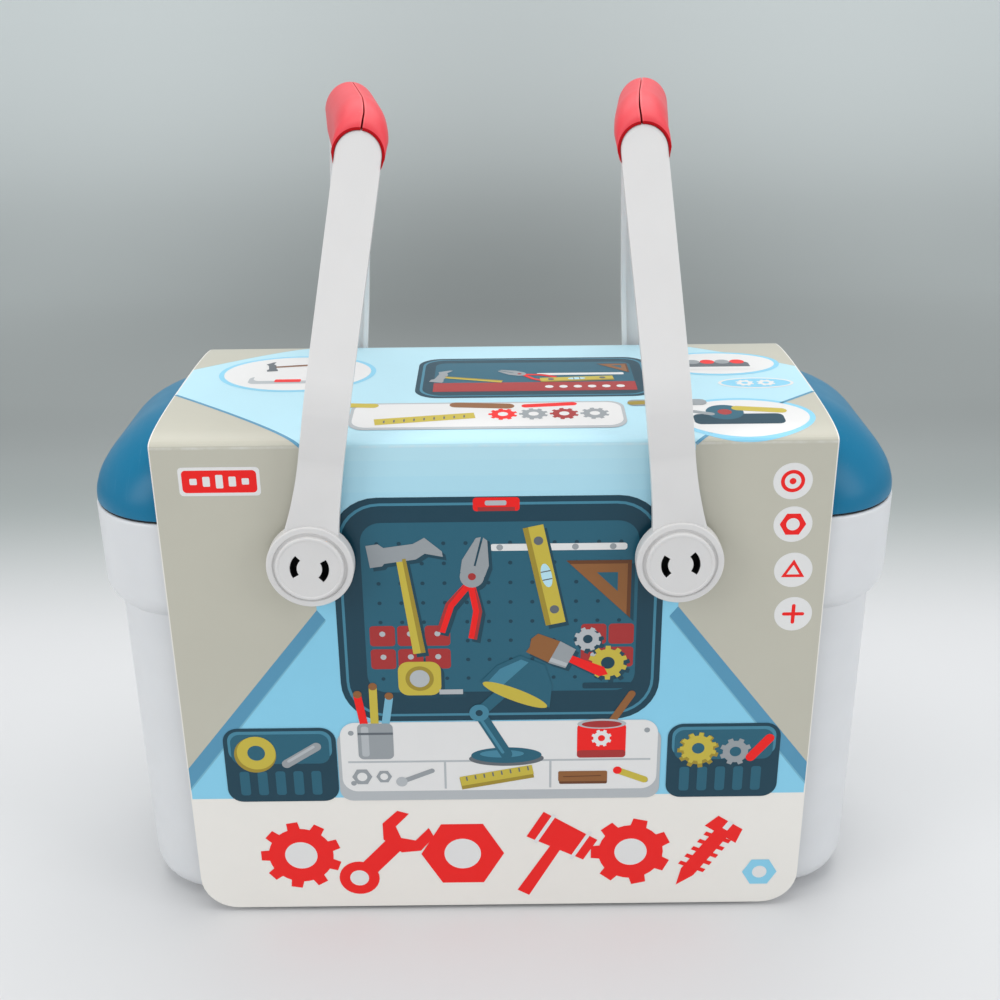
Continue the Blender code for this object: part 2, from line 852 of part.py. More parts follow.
def sliced(obj):
    """Cut a long piece's faces across, so that they can follow the twist of a handle."""
    reach = arm_inner_y(arm_rise)
    bm = bmesh.new()
    bm.from_mesh(obj.data)
    for step in range(twist_slices + 1):
        everything = list(bm.verts) + list(bm.edges) + list(bm.faces)
        y = reach * (2 * step / twist_slices - 1)
        bmesh.ops.bisect_plane(bm, geom=everything, plane_co=(0, y, 0), plane_no=(0, 1, 0))
    bm.to_mesh(obj.data)
    bm.free()
    return obj


def twisted(obj, twist):
    """Turn a handle's piece about the pivot axis: not at the front arm, fully at the rear arm."""
    reach = arm_inner_y(arm_rise)
    to_pivot = obj.matrix_basis.copy()
    back = to_pivot.inverted()
    for vert in obj.data.vertices:
        point = to_pivot @ vert.co
        share = min(1.0, max(0.0, (point.y + reach) / (2 * reach)))
        vert.co = back @ (Matrix.Rotation(twist * share, 4, "Y") @ point)
    return obj


def make_arm(name, pivot, outer_side, side_y, twist):
    """An arm with its hub, modelled at the front and turned round for the back."""
    mirror = outer_side if side_y < 0 else -outer_side
    front_y = -hub_back - arm_thickness
    arm = plate("arm", [arm_outline(0, 0, arm_rise, mirror)], arm_thickness)
    upright(arm, -hub_back - arm_thickness / 2)
    round_front_edges(arm, front_y)
    lean_in(arm)
    hub = turned("arm_hub", hub_profile(), steps=20)
    hub.data.transform(Matrix.Translation((0, -hub_back, 0)) @ Matrix.Rotation(quarter_turn, 4, "X"))
    channel = plate("arm_channel", [arm_outline(channel_wall, channel_foot, channel_head, mirror)],
                    2 * channel_depth)
    lean_in(upright(channel, -hub_back))
    guides = [hub, channel]
    gap_height = finger_outer + overrun
    for side in (-1, 1):
        slot = plate("arm_slot", [slot_outline(side)], 2 * (arm_thickness + hub_proud + cap_proud))
        guides.append(upright(slot, -hub_back - arm_thickness / 2))
        gap = block("arm_finger_gap", (2 * gap_height, hook_start + overrun, gap_height))
        gap_foot = finger_width / 2 if side > 0 else -finger_width / 2 - gap_height
        gap_y = -hub_back + free_gap + (hook_start + overrun) / 2
        gap.data.transform(Matrix.Translation((0, gap_y, gap_foot)))
        guides.append(gap)
    turn = Matrix.Rotation(0 if side_y < 0 else half_turn, 4, "Z")
    for piece in [arm] + guides:
        piece.data.transform(turn)
        if side_y > 0:
            piece.data.transform(Matrix.Rotation(twist, 4, "Y"))
        piece.parent = pivot
    join(arm, hub)
    cut(arm, *guides[1:])
    return make_part(arm, name, "shell_white", pivot)


def arm_inner_y(height):
    """Distance of an arm's inner face from the middle of the box."""
    return hub_back - arm_lean_in_share * (height - arm_bend_height)


def make_bar(name, pivot, twist):
    """The bar between the two arms, inside the grip, with ends that follow their slant."""
    top = arm_rise - bar_drop
    bm = bmesh.new()
    bmesh.ops.create_cube(bm, size=1.0)
    for vert in bm.verts:
        height = top if vert.co.z > 0 else top - bar_height
        side = 1 if vert.co.y > 0 else -1
        end = arm_inner_y(height) - fit_gap
        vert.co = Vector((vert.co.x * bar_width, side * end, height))
    return make_part(twisted(sliced(mesh_object(bm, name)), twist), name, "shell_white", pivot)


def grip_half_length(height):
    """The grip's ends keep the slant of the arms."""
    return hub_back + arm_thickness + grip_proud - arm_lean_in_share * (height - arm_bend_height)


def grip_section(along, side):
    """Half of the grip's section, from the seam under it round to the seam on top."""
    near_end = min(1.0, (1 - abs(along)) / grip_end_share)
    swell = math.sqrt(1 - (1 - near_end) ** 2)
    end_radius = arm_width / 2 + grip_rim
    shoulder = arm_rise + grip_rim - end_radius + grip_shoulder_rise * swell
    top = arm_rise + grip_rim + grip_crown * swell
    wide = end_radius + grip_swell * swell / 2
    seam = grip_part_gap / 2
    foot = grip_foot_width / 2
    profile = [(seam, grip_bottom_rise), (foot - grip_foot_round, grip_bottom_rise),
               (foot, grip_bottom_rise + grip_foot_round)]
    for step in range(6):
        turn = quarter_turn * step / 5
        x = max(seam, wide * math.cos(turn))
        profile.append((x, shoulder + (top - shoulder) * math.sin(turn)))
    return [(side * x, along * grip_half_length(z), z) for x, z in profile]


def make_grip(name, pivot, side, twist):
    """One half shell of the grip, hollow where the bar and the arms' heads lie."""
    turns = [math.sin(quarter_turn * (2 * step / grip_sections - 1)) for step in range(grip_sections + 1)]
    grip = loft("grip", [grip_section(along, side) for along in turns])
    grip.parent = pivot
    bar_bottom = arm_rise - bar_drop - bar_height
    room_length = 2 * arm_inner_y(bar_bottom) + fit_gap
    room = block("grip_bar_room", (bar_width + 2 * fit_gap, room_length, bar_height + 2 * fit_gap))
    placed(sliced(room), (0, 0, bar_bottom - fit_gap), parent=pivot)
    hollow_bottom = bar_bottom + bar_height + grip_wall
    hollow_height = arm_rise + grip_rim + grip_crown - grip_wall - hollow_bottom
    hollow_length = 2 * (arm_inner_y(arm_rise) - grip_hollow_end)
    hollow = block("grip_hollow", (arm_width - grip_wall, hollow_length, hollow_height),
                   corner=grip_wall, top=grip_wall, corner_steps=2, edge_steps=2)
    placed(hollow, (0, 0, hollow_bottom), parent=pivot)
    guides = [room, hollow]
    for side_y in (-1, 1):
        thickness = fit_gap + arm_thickness + overrun
        head = plate("grip_arm_room", [arm_outline(-fit_gap, 0, arm_rise + fit_gap, 1)], thickness)
        lean_in(upright(head, -hub_back + fit_gap - thickness / 2))
        head.data.transform(Matrix.Rotation(0 if side_y < 0 else half_turn, 4, "Z"))
        head.parent = pivot
        guides.append(head)
    twisted(grip, twist)
    for guide in guides:
        boolean(grip, twisted(guide, twist), "DIFFERENCE", "MANIFOLD")
    return make_part(grip, name, "grip_red", pivot)


def make_handle(side_name, side_x, lean, lean_change):
    """One carry handle on its pivot, leaning towards the other handle."""
    twist = side_x * lean_change
    pivot = make_pivot("handle_" + side_name + "_pivot",
                       (side_x * pivot_distance / 2, 0, pivot_height), turn=-side_x * lean)
    prefix = "handle_" + side_name + "_"
    make_arm(prefix + "front_arm", pivot, side_x, -1, twist)
    make_arm(prefix + "rear_arm", pivot, side_x, 1, twist)
    make_bar(prefix + "bar", pivot, twist)
    make_grip(prefix + "grip_outer", pivot, side_x, twist)
    make_grip(prefix + "grip_inner", pivot, -side_x, twist)


def make_work_tray():
    room_length = tub_length - 2 * tub_wall
    room_depth = tub_depth - 2 * tub_wall
    length = room_length - 2 * tray_side_gap
    depth = room_depth - 2 * tray_side_gap
    corner = tub_corner - tub_wall - tray_side_gap
    tray = block("tray", (length, depth, tray_depth), corner=corner, bottom=tray_inner_round,
                 corner_steps=6, edge_steps=2)
    placed(tray, (0, 0, tray_bottom))
    flange = block("tray_flange", (room_length + 2 * tray_flange, room_depth + 2 * tray_flange,
                                   tray_flange_thickness), corner=tub_corner - tub_wall + tray_flange)
    join(tray, placed(flange, (0, 0, ledge_height + fit_gap)))
    side_length = (length - tray_middle_width) / 2 - 2 * tray_wall
    side_place = tray_middle_width / 2 + tray_wall + side_length / 2
    inner = side_length / 2
    rooms = [(0, tray_middle_width, tray_corner)]
    for side in (-1, 1):
        rooms.append((side * side_place, side_length, corner - tray_wall))
        rooms.append((side * (side_place - inner / 2), inner, tray_corner))
    for place, size, room_corner in rooms:
        room = block("tray_room", (size, depth - 2 * tray_wall, tray_depth), corner=room_corner,
                     bottom=tray_inner_round, corner_steps=4, edge_steps=2)
        cut(tray, placed(room, (place, 0, tray_floor)))
    return make_part(tray, "work_tray", "shell_white")


def row(count, pitch):
    """Places along a row that is centred on zero."""
    return [(index - (count - 1) / 2) * pitch for index in range(count)]


def make_side_tray(name, side):
    tray = block(name, (side_tray_length, side_tray_depth, side_tray_height), corner=side_tray_corner,
                 bottom=side_tray_round, corner_steps=4, edge_steps=2)
    inner = side_tray_wall
    room = block("side_tray_room", (side_tray_length - 2 * inner, side_tray_depth - 2 * inner,
                                    side_tray_height), corner=side_tray_corner - inner,
                 bottom=side_tray_round - inner, corner_steps=4, edge_steps=2)
    placed(tray, (side * side_tray_x, 0, floor_seat))
    cut(tray, placed(room, (side * side_tray_x, 0, floor_seat + inner)))
    for place in row(side_slot_count, side_slot_pitch):
        slot = block("side_tray_slot", (side_slot_width, side_tray_depth + overrun, side_slot_height))
        cut(tray, placed(slot, (side * side_tray_x + place, 0, floor_seat + side_slot_foot)))
    return make_part(tray, name, "tool_dark_blue")


def make_peg_rail():
    top = lid_top - lid_wall - fit_gap
    rail = block("rail", (rail_length, rail_width, rail_thickness), corner=rail_thickness / 2,
                 corner_steps=2)
    placed(rail, (0, -rail_set_forward, top - rail_thickness))
    for place in row(peg_count, rail_length / peg_count):
        lower = peg_length + peg_head_thickness
        profile = [(0, lower + rail_thickness / 2), (peg_radius, lower + rail_thickness / 2),
                   (peg_radius, peg_head_thickness), (peg_head_radius, peg_head_thickness),
                   (peg_head_radius, 0), (0, 0)]
        peg = turned("rail_peg", profile, steps=12)
        join(rail, placed(peg, (place, -rail_set_forward, top - rail_thickness - lower)))
    return make_part(rail, "lid_peg_rail", "shell_white")


def make_rack():
    rack = block("rack", (rack_length, rack_depth, rack_height), corner=rack_corner, corner_steps=3)
    y = -(side_tray_depth / 2 - rack_front_gap - rack_depth / 2)
    placed(rack, (0, y, floor_seat))
    room = block("rack_room", (rack_length - 2 * rack_wall, rack_depth - 2 * rack_wall, rack_height),
                 corner=rack_corner - rack_wall, corner_steps=3)
    cut(rack, placed(room, (0, y, floor_seat + rack_wall)))
    for place in row(rack_slot_count, rack_slot_pitch):
        slot = block("rack_slot", (rack_slot_width, rack_depth + overrun, rack_slot_height))
        cut(rack, placed(slot, (place, y, floor_seat + rack_slot_foot)))
    return make_part(rack, "rack_basket", "shell_white")


def press_head_bottom():
    return floor_seat + press_base_height + press_throat


def press_quill_y():
    return press_y - press_quill_set_forward


def make_press_body():
    base = block("press", (press_base_length, press_base_depth, press_base_height), corner=press_corner,
                 top=press_base_height / 4, corner_steps=3, edge_steps=1)
    placed(base, (press_x, press_y, floor_seat))
    column = rod("press_column", press_column_radius, press_throat + press_base_height, sides=16)
    join(base, placed(column, (press_x, press_y + press_column_set_back,
                               floor_seat + press_base_height / 2)))
    head = block("press_head", (press_head_length, press_head_depth, press_head_height),
                 corner=press_corner, bottom=press_head_round / 2, top=press_head_round,
                 corner_steps=3, edge_steps=2)
    join(base, placed(head, (press_x, press_y, press_head_bottom())))
    bore_depth = press_quill_length + press_quill_play - press_quill_shown
    bore = rod("press_bore", press_quill_radius + press_quill_play, bore_depth + overrun, sides=16)
    cut(base, placed(bore, (press_x, press_quill_y(), press_head_bottom() - overrun)))
    axle = rod("press_axle_bore", press_lever_axle_radius + press_quill_play,
               press_lever_axle_reach + fit_gap + overrun, sides=12)
    place = (lever_face() + press_lever_axle_reach + fit_gap, lever_y(), lever_height())
    cut(base, placed(axle, place, (0, -quarter_turn, 0)))
    return make_part(base, "press_body", "tool_dark_blue")


def lever_face():
    return press_x - press_head_length / 2


def lever_y():
    return press_y


def lever_height():
    return press_head_bottom() + press_head_height / 2


def make_press_quill():
    """The spindle with its bit, which slides down out of the head."""
    shown = press_quill_shown
    pivot = make_pivot("press_quill_slide", (press_x, press_quill_y(), press_head_bottom()))
    tip = press_bit_radius / 2
    profile = [(0, press_quill_length - shown), (press_quill_radius, press_quill_length - shown),
               (press_quill_radius, -shown), (press_bit_radius, -shown),
               (press_bit_radius, -shown - press_bit_length + press_bit_radius),
               (tip, -shown - press_bit_length), (0, -shown - press_bit_length)]
    quill = turned("press_quill", profile, steps=16)
    return make_part(quill, "press_quill", "tool_light_blue", pivot)


def make_press_lever():
    """The feed lever on the left of the head. It turns about an axle along X."""
    face = lever_face() - fit_gap
    pivot = make_pivot("press_lever_pivot", (face, lever_y(), lever_height()))
    hub = rod("press_lever", press_lever_hub_radius, press_lever_hub_width, sides=16)
    hub.data.transform(Matrix.Rotation(-quarter_turn, 4, "Y"))
    axle_length = press_lever_axle_reach + press_lever_hub_width / 2
    axle = rod("press_lever_axle", press_lever_axle_radius, axle_length, sides=12)
    placed(axle, (-press_lever_hub_width / 2, 0, 0), (0, quarter_turn, 0), pivot)
    arm = rod("press_lever_arm", press_lever_arm_radius, press_lever_length, sides=10)
    placed(arm, (-press_lever_hub_width / 2, 0, 0), (quarter_turn, 0, 0), pivot)
    bm = bmesh.new()
    bmesh.ops.create_uvsphere(bm, u_segments=12, v_segments=8, radius=press_lever_knob_radius)
    knob = placed(mesh_object(bm, "press_lever_knob"),
                  (-press_lever_hub_width / 2, -press_lever_length, 0), parent=pivot)
    join(hub, axle, arm, knob)
    return make_part(hub, "press_lever", "tool_light_blue", pivot)


def vise_floor():
    return floor_seat + vise_base_height


def fixed_jaw_x():
    return vise_x - vise_base_length / 2 + vise_jaw_length / 2


def moving_jaw_x():
    return fixed_jaw_x() + vise_jaw_length + vise_opening


def vise_post_x():
    return vise_x + vise_base_length / 2 - vise_post_length / 2


def vise_screw_start():
    """Where the screw's buried end lies, from the middle of the moving jaw."""
    return vise_jaw_length / 2 - vise_screw_bury


def vise_screw_length():
    """From the moving jaw past the post, with room for the wheel to travel with the jaw."""
    post_end = vise_post_x() + vise_post_length / 2
    return post_end + vise_travel + free_gap - moving_jaw_x() - vise_screw_start()


def vise_screw_z():
    return vise_floor() + vise_screw_rise


def make_vise_base():
    base = block("vise", (vise_base_length, vise_base_depth, vise_base_height), corner=vise_corner,
                 corner_steps=3)
    placed(base, (vise_x, vise_y, floor_seat))
    post = block("vise_post", (vise_post_length, vise_post_depth,
                               vise_screw_rise + vise_post_depth / 2 + vise_base_height / 2),
                 corner=vise_jaw_round, corner_steps=2)
    join(base, placed(post, (vise_post_x(), vise_y, floor_seat + vise_base_height / 2)))
    bore = rod("vise_bore", vise_screw_radius + vise_screw_play, vise_post_length + overrun, sides=16)
    start = vise_post_x() - (vise_post_length + overrun) / 2
    cut(base, placed(bore, (start, vise_y, vise_screw_z()), (0, quarter_turn, 0)))
    return make_part(base, "vise_base", "tool_dark_blue")


def vise_jaw(name):
    return block(name, (vise_jaw_length, vise_jaw_depth, vise_jaw_height), corner=vise_jaw_round,
                 top=vise_jaw_round, corner_steps=2, edge_steps=2)


def make_vise_fixed_jaw():
    jaw = placed(vise_jaw("vise_fixed"), (fixed_jaw_x(), vise_y, vise_floor() + fit_gap))
    return make_part(jaw, "vise_fixed_jaw", "tool_red")


def make_vise_moving_jaw():
    pivot = make_pivot("vise_jaw_slide", (moving_jaw_x(), vise_y, vise_screw_z()))
    drop = vise_floor() + fit_gap - vise_screw_z()
    jaw = placed(vise_jaw("vise_moving"), (0, 0, drop), parent=pivot)
    socket = rod("vise_socket", vise_screw_radius + vise_screw_play, vise_screw_bury + fit_gap + overrun,
                 sides=16)
    inner = vise_jaw_length / 2 - vise_screw_bury - fit_gap
    cut(jaw, placed(socket, (inner, 0, 0), (0, quarter_turn, 0), pivot))
    make_part(jaw, "vise_moving_jaw", "tool_red", pivot)
    return pivot


def make_vise_screw(slide):
    """Screw and hand wheel. They turn in the moving jaw and travel with it."""
    pivot = make_pivot("vise_screw_pivot", (vise_screw_start(), 0, 0), parent=slide)
    screw = rod("vise_screw", vise_screw_radius, vise_screw_length(), sides=16)
    screw.data.transform(Matrix.Rotation(quarter_turn, 4, "Y"))
    make_part(screw, "vise_screw", "tool_grey", pivot)
    wheel = rod("vise_wheel", vise_wheel_radius, vise_wheel_width, sides=24)
    wheel.data.transform(Matrix.Translation((vise_screw_length() + fit_gap, 0, 0))
                         @ Matrix.Rotation(quarter_turn, 4, "Y"))
    wheel.parent = pivot
    for index in range(vise_wheel_grips):
        turn = index * 2 * half_turn / vise_wheel_grips
        notch = rod("vise_wheel_notch", vise_wheel_notch, vise_wheel_width + overrun, sides=10)
        place = (vise_screw_length() - overrun / 2, vise_wheel_radius * math.cos(turn),
                 vise_wheel_radius * math.sin(turn))
        cut(wheel, placed(notch, place, (0, quarter_turn, 0), pivot))
    return make_part(wheel, "vise_wheel", "tool_light_blue", pivot)


def drill_frame():
    """The toy drill's own axes: its bit points to the front, its grip to the right."""
    seat = floor_seat + side_tray_wall + fit_gap
    frame = bpy.data.objects.new("drill_place", None)
    frame.empty_display_size = boss_radius
    parts.objects.link(frame)
    x = side_tray_x - drill_grip_length / 2
    y = (drill_chuck_length + drill_bit_length - drill_grip_slant) / 2
    frame.location = (x, y, seat + drill_thickness / 2)
    return frame


def drill_outline(inset):
    """Barrel along Y with the grip towards +X near its rear end."""
    half = drill_barrel_width / 2 - inset
    rear = drill_barrel_length / 2 - inset
    grip_rear = rear - drill_round
    grip_front = grip_rear - drill_grip_width + 2 * inset
    grip_end = half + drill_grip_length
    slant = drill_grip_slant
    corner = drill_barrel_width / 4
    points = arc((-half + corner, -rear + corner), corner, half_turn, 3 * quarter_turn, 3)
    points += arc((half - corner, -rear + corner), corner, -quarter_turn, 0, 3)
    points += [(half, grip_front), (grip_end, grip_front + slant)]
    points += [(grip_end, grip_rear + slant), (half, grip_rear)]
    points += arc((half - corner, rear - corner), corner, 0, quarter_turn, 3)
    points += arc((-half + corner, rear - corner), corner, quarter_turn, half_turn, 3)
    return points


def make_drill_half(name, frame, side):
    half_depth = (drill_thickness - drill_part_gap) / 2
    shell = plate("drill_half", [drill_outline(0)], half_depth)
    middle = side * (drill_part_gap / 2 + half_depth / 2)
    placed(shell, (0, 0, middle), parent=frame)
    bm = bmesh.new()
    bm.from_mesh(shell.data)
    face = side * half_depth / 2
    rim = [edge for edge in level_edges(bm, face) if edge.calc_face_angle(0) > quarter_turn / 2]
    bevel(bm, rim, drill_round, 2)
    bm.to_mesh(shell.data)
    bm.free()
    room = plate("drill_room", [drill_outline(drill_wall)], 2 * (half_depth - drill_wall))
    cut(shell, placed(room, parent=frame))
    shank = rod("drill_shank_room", drill_shank_radius + drill_shank_play, drill_wall + overrun, sides=16)
    cut(shell, placed(shank, (0, -drill_barrel_length / 2 + drill_wall + overrun / 2, 0),
                      (quarter_turn, 0, 0), frame))
    slot = block("drill_trigger_slot", (overrun, trigger_width + 2 * trigger_play,
                                        trigger_height + 2 * trigger_play))
    cut(shell, placed(slot, (drill_barrel_width / 2, trigger_y(), -trigger_height / 2 - trigger_play),
                      parent=frame))
    return make_part(shell, name, "tool_yellow", frame)


def trigger_y():
    grip_front = drill_barrel_length / 2 - drill_round - drill_grip_width
    return grip_front - trigger_drop - trigger_width / 2


def make_drill_trigger(frame):
    """The trigger on the barrel's grip side, pressed into the barrel along X."""
    outer = drill_barrel_width / 2 + trigger_shown
    pivot = make_pivot("drill_trigger_slide", (outer, trigger_y(), 0), parent=frame)
    trigger = block("trigger", (trigger_length, trigger_width, trigger_height), corner=trigger_width / 4,
                    corner_steps=2)
    placed(trigger, (-trigger_length / 2, 0, -trigger_height / 2), parent=pivot)
    flange = block("trigger_flange", (drill_wall / 2, trigger_width + 2 * drill_wall,
                                      trigger_height + 2 * drill_wall))
    inner = -trigger_shown - drill_wall - fit_gap - drill_wall / 4
    join(trigger, placed(flange, (inner, 0, -trigger_height / 2 - drill_wall), parent=pivot))
    return make_part(trigger, "drill_trigger", "tool_grey", pivot)


def make_drill_chuck(frame):
    """Chuck and bit spin about the barrel's axis, on a shank with a collar inside."""
    nose = -drill_barrel_length / 2 - fit_gap
    pivot = make_pivot("drill_chuck_pivot", (0, nose, 0), parent=frame)
    collar = drill_wall + 2 * fit_gap
    shank_end = drill_shank_length
    profile = [(0, drill_chuck_length), (drill_shank_radius, drill_chuck_length),
               (drill_chuck_radius, drill_chuck_length / 2), (drill_chuck_radius, 0),
               (drill_shank_radius, 0), (drill_shank_radius, -collar - fit_gap),
               (drill_collar_radius, -collar - fit_gap), (drill_collar_radius, -shank_end),
               (0, -shank_end)]
    chuck = turned("chuck", profile, steps=18)
    chuck.data.transform(Matrix.Rotation(quarter_turn, 4, "X"))
    bore = rod("chuck_bore", drill_bit_radius + fit_gap, drill_chuck_length, sides=12)
    bore.data.transform(Matrix.Rotation(quarter_turn, 4, "X"))
    bore.parent = pivot
    bore.location = (0, -drill_chuck_length / 2, 0)
    cut(chuck, bore)
    make_part(chuck, "drill_chuck", "tool_grey", pivot)
    reach = drill_chuck_length / 2 - fit_gap
    profile = [(0, drill_bit_length), (drill_bit_radius / 2, drill_bit_length),
               (drill_bit_radius, drill_bit_length - drill_bit_radius), (drill_bit_radius, -reach),
               (0, -reach)]
    bit = turned("bit", profile, steps=12)
    bit.data.transform(Matrix.Rotation(quarter_turn, 4, "X"))
    bit.data.transform(Matrix.Translation((0, -drill_chuck_length, 0)))
    return make_part(bit, "drill_bit", "pin_steel", pivot)


def make_drill():
    frame = drill_frame()
    make_drill_half("drill_shell_upper", frame, 1)
    make_drill_half("drill_shell_lower", frame, -1)
    make_drill_trigger(frame)
    make_drill_chuck(frame)


def make_screwdriver():
    """Handle and shaft, lying along Y in the left side tray."""
    length = driver_handle_length
    radius = driver_handle_radius
    neck = driver_neck_radius
    grip = [(radius * wide, length * (1 - along)) for along, wide in driver_profile_shares]
    collar = [(neck * wide, length * (1 - along)) for along, wide in driver_neck_shares]
    handle = turned("driver_handle", [(0, length)] + grip + collar + [(0, 0)], steps=18)
    place = (-side_tray_x, (driver_shaft_length - length) / 2,
             floor_seat + side_tray_wall + fit_gap + radius)
    placed(handle, place, (-quarter_turn, 0, 0))
    for index in range(driver_flute_count):
        turn = (index + 0.5) * 2 * half_turn / driver_flute_count
        flute = rod("driver_flute", driver_flute_radius, length * driver_flute_length_share, sides=8)
        reach = radius + driver_flute_radius / 2
        spot = (place[0] + reach * math.cos(turn), place[1] + length * driver_flute_start_share,
                place[2] + reach * math.sin(turn))
        cut(handle, placed(flute, spot, (-quarter_turn, 0, 0)))
    socket = rod("driver_socket", driver_shaft_radius + fit_gap, driver_shaft_bury + overrun, sides=12)
    cut(handle, placed(socket, (place[0], place[1] + driver_shaft_bury, place[2]), (quarter_turn, 0, 0)))
    make_part(handle, "driver_handle", "tool_yellow")
    full = driver_shaft_length + driver_shaft_bury - fit_gap
    tip = driver_shaft_radius
    profile = [(0, full), (tip * driver_tip_share, full), (tip, full - 2 * tip), (tip, 0), (0, 0)]
    shaft = turned("driver_shaft", profile, steps=12)
    placed(shaft, (place[0], place[1] + driver_shaft_bury - fit_gap, place[2]), (quarter_turn, 0, 0))
    for index in range(4):
        turn = (index + 0.5) * quarter_turn
        flute = rod("driver_tip_flute", tip / 2, 2 * tip + overrun, sides=8)
        spot = (place[0] + tip * math.cos(turn), place[1] - driver_shaft_length + 2 * tip,
                place[2] + tip * math.sin(turn))
        cut(shaft, placed(flute, spot, (quarter_turn, 0, 0)))
    return make_part(shaft, "driver_shaft", "pin_steel")


def tray_side_centre():
    inner = tub_length / 2 - tub_wall - tray_side_gap - tray_wall
    return (inner + tray_middle_width / 2 + tray_wall) / 2


def tray_front():
    return -(tub_depth / 2 - tub_wall - tray_side_gap - tray_wall)


def make_capsule():
    radius = capsule_radius
    straight = capsule_length - 2 * radius
    top = [(r, radius + straight + h) for r, h in arc((0, 0), radius, quarter_turn, 0, 5)]
    bottom = [(r, radius + h) for r, h in arc((0, 0), radius, 0, -quarter_turn, 5)]
    profile = [(0 if r < same_place else r, h) for r, h in top + bottom]
    capsule = turned("capsule", profile, steps=20)
    x = -tray_side_centre() - capsule_length / 2
    y = tray_front() + tray_item_gap + radius
    placed(capsule, (x, y, tray_seat + radius), (0, quarter_turn, 0))
    socket = rod("capsule_socket", capsule_socket_radius, capsule_socket_depth + overrun, sides=6)
    end = x + capsule_length - capsule_socket_depth
    cut(capsule, placed(socket, (end, y, tray_seat + radius), (0, quarter_turn, 0)))
    return make_part(capsule, "driver_knob", "tool_yellow")


def bolt_profile():
    """Shank with rounded toy threads below the head, top to bottom."""
    pitch = bolt_shank_length / (bolt_thread_count + 1)
    points = [(0, bolt_shank_length + bolt_head_height / 2), (bolt_shank_radius, bolt_shank_length
                                                              + bolt_head_height / 2)]
    for index in range(bolt_thread_count):
        height = bolt_shank_length - (index + 0.5) * pitch
        points += [(bolt_shank_radius, height), (bolt_shank_radius - bolt_thread_depth, height - pitch / 2)]
    return points + [(bolt_shank_radius, pitch / 4), (bolt_shank_radius - bolt_thread_depth, 0), (0, 0)]


def make_bolts():
    """Two hex bolts lying along X."""
    for index in range(bolt_count):
        bolt = turned("bolt", bolt_profile(), steps=14)
        head = rod("bolt_head", bolt_head_radius, bolt_head_height, sides=6)
        slot = block("bolt_slot", (2 * bolt_head_radius + overrun, bolt_slot_width, overrun))
        rest = bolt_head_radius * math.cos(half_turn / 6)
        x = tray_side_centre() - (bolt_shank_length + bolt_head_height) / 2
        first_y = tray_front() + tray_item_gap + bolt_head_radius
        y = first_y + index * (2 * bolt_head_radius + tray_item_gap / 2)
        z = tray_seat + rest
        for piece, along in ((bolt, 0), (head, bolt_shank_length),
                             (slot, bolt_shank_length + bolt_head_height - bolt_slot_depth)):
            placed(piece, (x + along, y, z), (0, quarter_turn, 0))
        join(bolt, head)
        cut(bolt, slot)
        make_part(bolt, "hex_bolt_" + str(index + 1), "tool_grey")


def make_nut():
    nut = block("nut", (nut_size, nut_size, nut_thickness), corner=nut_corner, corner_steps=2)
    x = -tray_side_centre() - capsule_length / 2 + nut_size / 2
    y = tray_front() + tray_item_gap + 2 * capsule_radius + tray_item_gap + nut_size / 2
    placed(nut, (x, y, tray_seat))
    hole = rod("nut_hole", nut_hole_radius, nut_thickness + overrun, sides=16)
    cut(nut, placed(hole, (x, y, tray_seat - overrun / 2)))
    return make_part(nut, "square_nut", "tool_grey")


def wrench_outline():
    """A round head with a jaw open to -X, and a straight neck towards +X."""
    radius = wrench_head_radius
    jaw = wrench_jaw_width / 2
    neck = wrench_neck_width / 2
    open_turn = math.asin(jaw / radius)
    neck_turn = math.asin(neck / radius)
    back = -radius + wrench_jaw_depth
    upper = arc((0, 0), radius, half_turn - open_turn, neck_turn, 9)
    lower = arc((0, 0), radius, -neck_turn, -half_turn + open_turn, 9)
    end = wrench_neck_length
    return upper + [(end, neck), (end, -neck)] + lower + [(back, -jaw), (back, jaw)]


def make_wrench():
    reach = wrench_neck_length - wrench_bury + wrench_handle_length
    x = tray_side_centre() - reach / 2 + wrench_head_radius / 2
    y = -tray_front() - tray_item_gap - wrench_head_radius
    z = tray_seat + wrench_handle_thickness / 2
    head = placed(plate("wrench", [wrench_outline()], wrench_thickness), (x, y, z))
    make_part(head, "wrench_head", "tool_grey")
    outline = round_rectangle(wrench_handle_length, wrench_handle_width, wrench_handle_width / 3, 4)
    handle = plate("wrench_grip", [outline], wrench_handle_thickness)
    start = x + wrench_neck_length - wrench_bury
    placed(handle, (start + wrench_handle_length / 2, y, z))
    socket = block("wrench_socket", (wrench_bury + fit_gap + overrun, wrench_neck_width + 2 * fit_gap,
                                     wrench_thickness + 2 * fit_gap))
    socket_x = start + wrench_bury + fit_gap - (wrench_bury + fit_gap + overrun) / 2
    cut(handle, placed(socket, (socket_x, y, z - wrench_thickness / 2 - fit_gap)))
    return make_part(handle, "wrench_handle", "tool_yellow")


def saw_place():
    """Middle of the saw's handle in the left compartment."""
    x = -tray_side_centre() + (saw_blade_length - saw_bury) / 2
    y = -tray_front() - tray_item_gap - saw_handle_height / 2
    return x, y, tray_seat + saw_handle_thickness / 2


def saw_blade_outline():
    """Blade towards -X from its buried end, straight back edge above and teeth below."""
    length = saw_blade_length
    top = saw_blade_width / 2
    nose = top - saw_blade_width * saw_blade_nose_share
    points = [(0, -top), (0, top), (-length, top), (-length, nose)]
    steps = saw_tooth_count
    for index in range(steps):
        for share, tooth in ((0.5, saw_tooth_depth), (1.0, 0)):
            along = (index + share) / steps
            base = nose + (-top - nose) * along
            points.append((-length + (length - saw_bury - free_gap) * along, base + tooth))
    return points


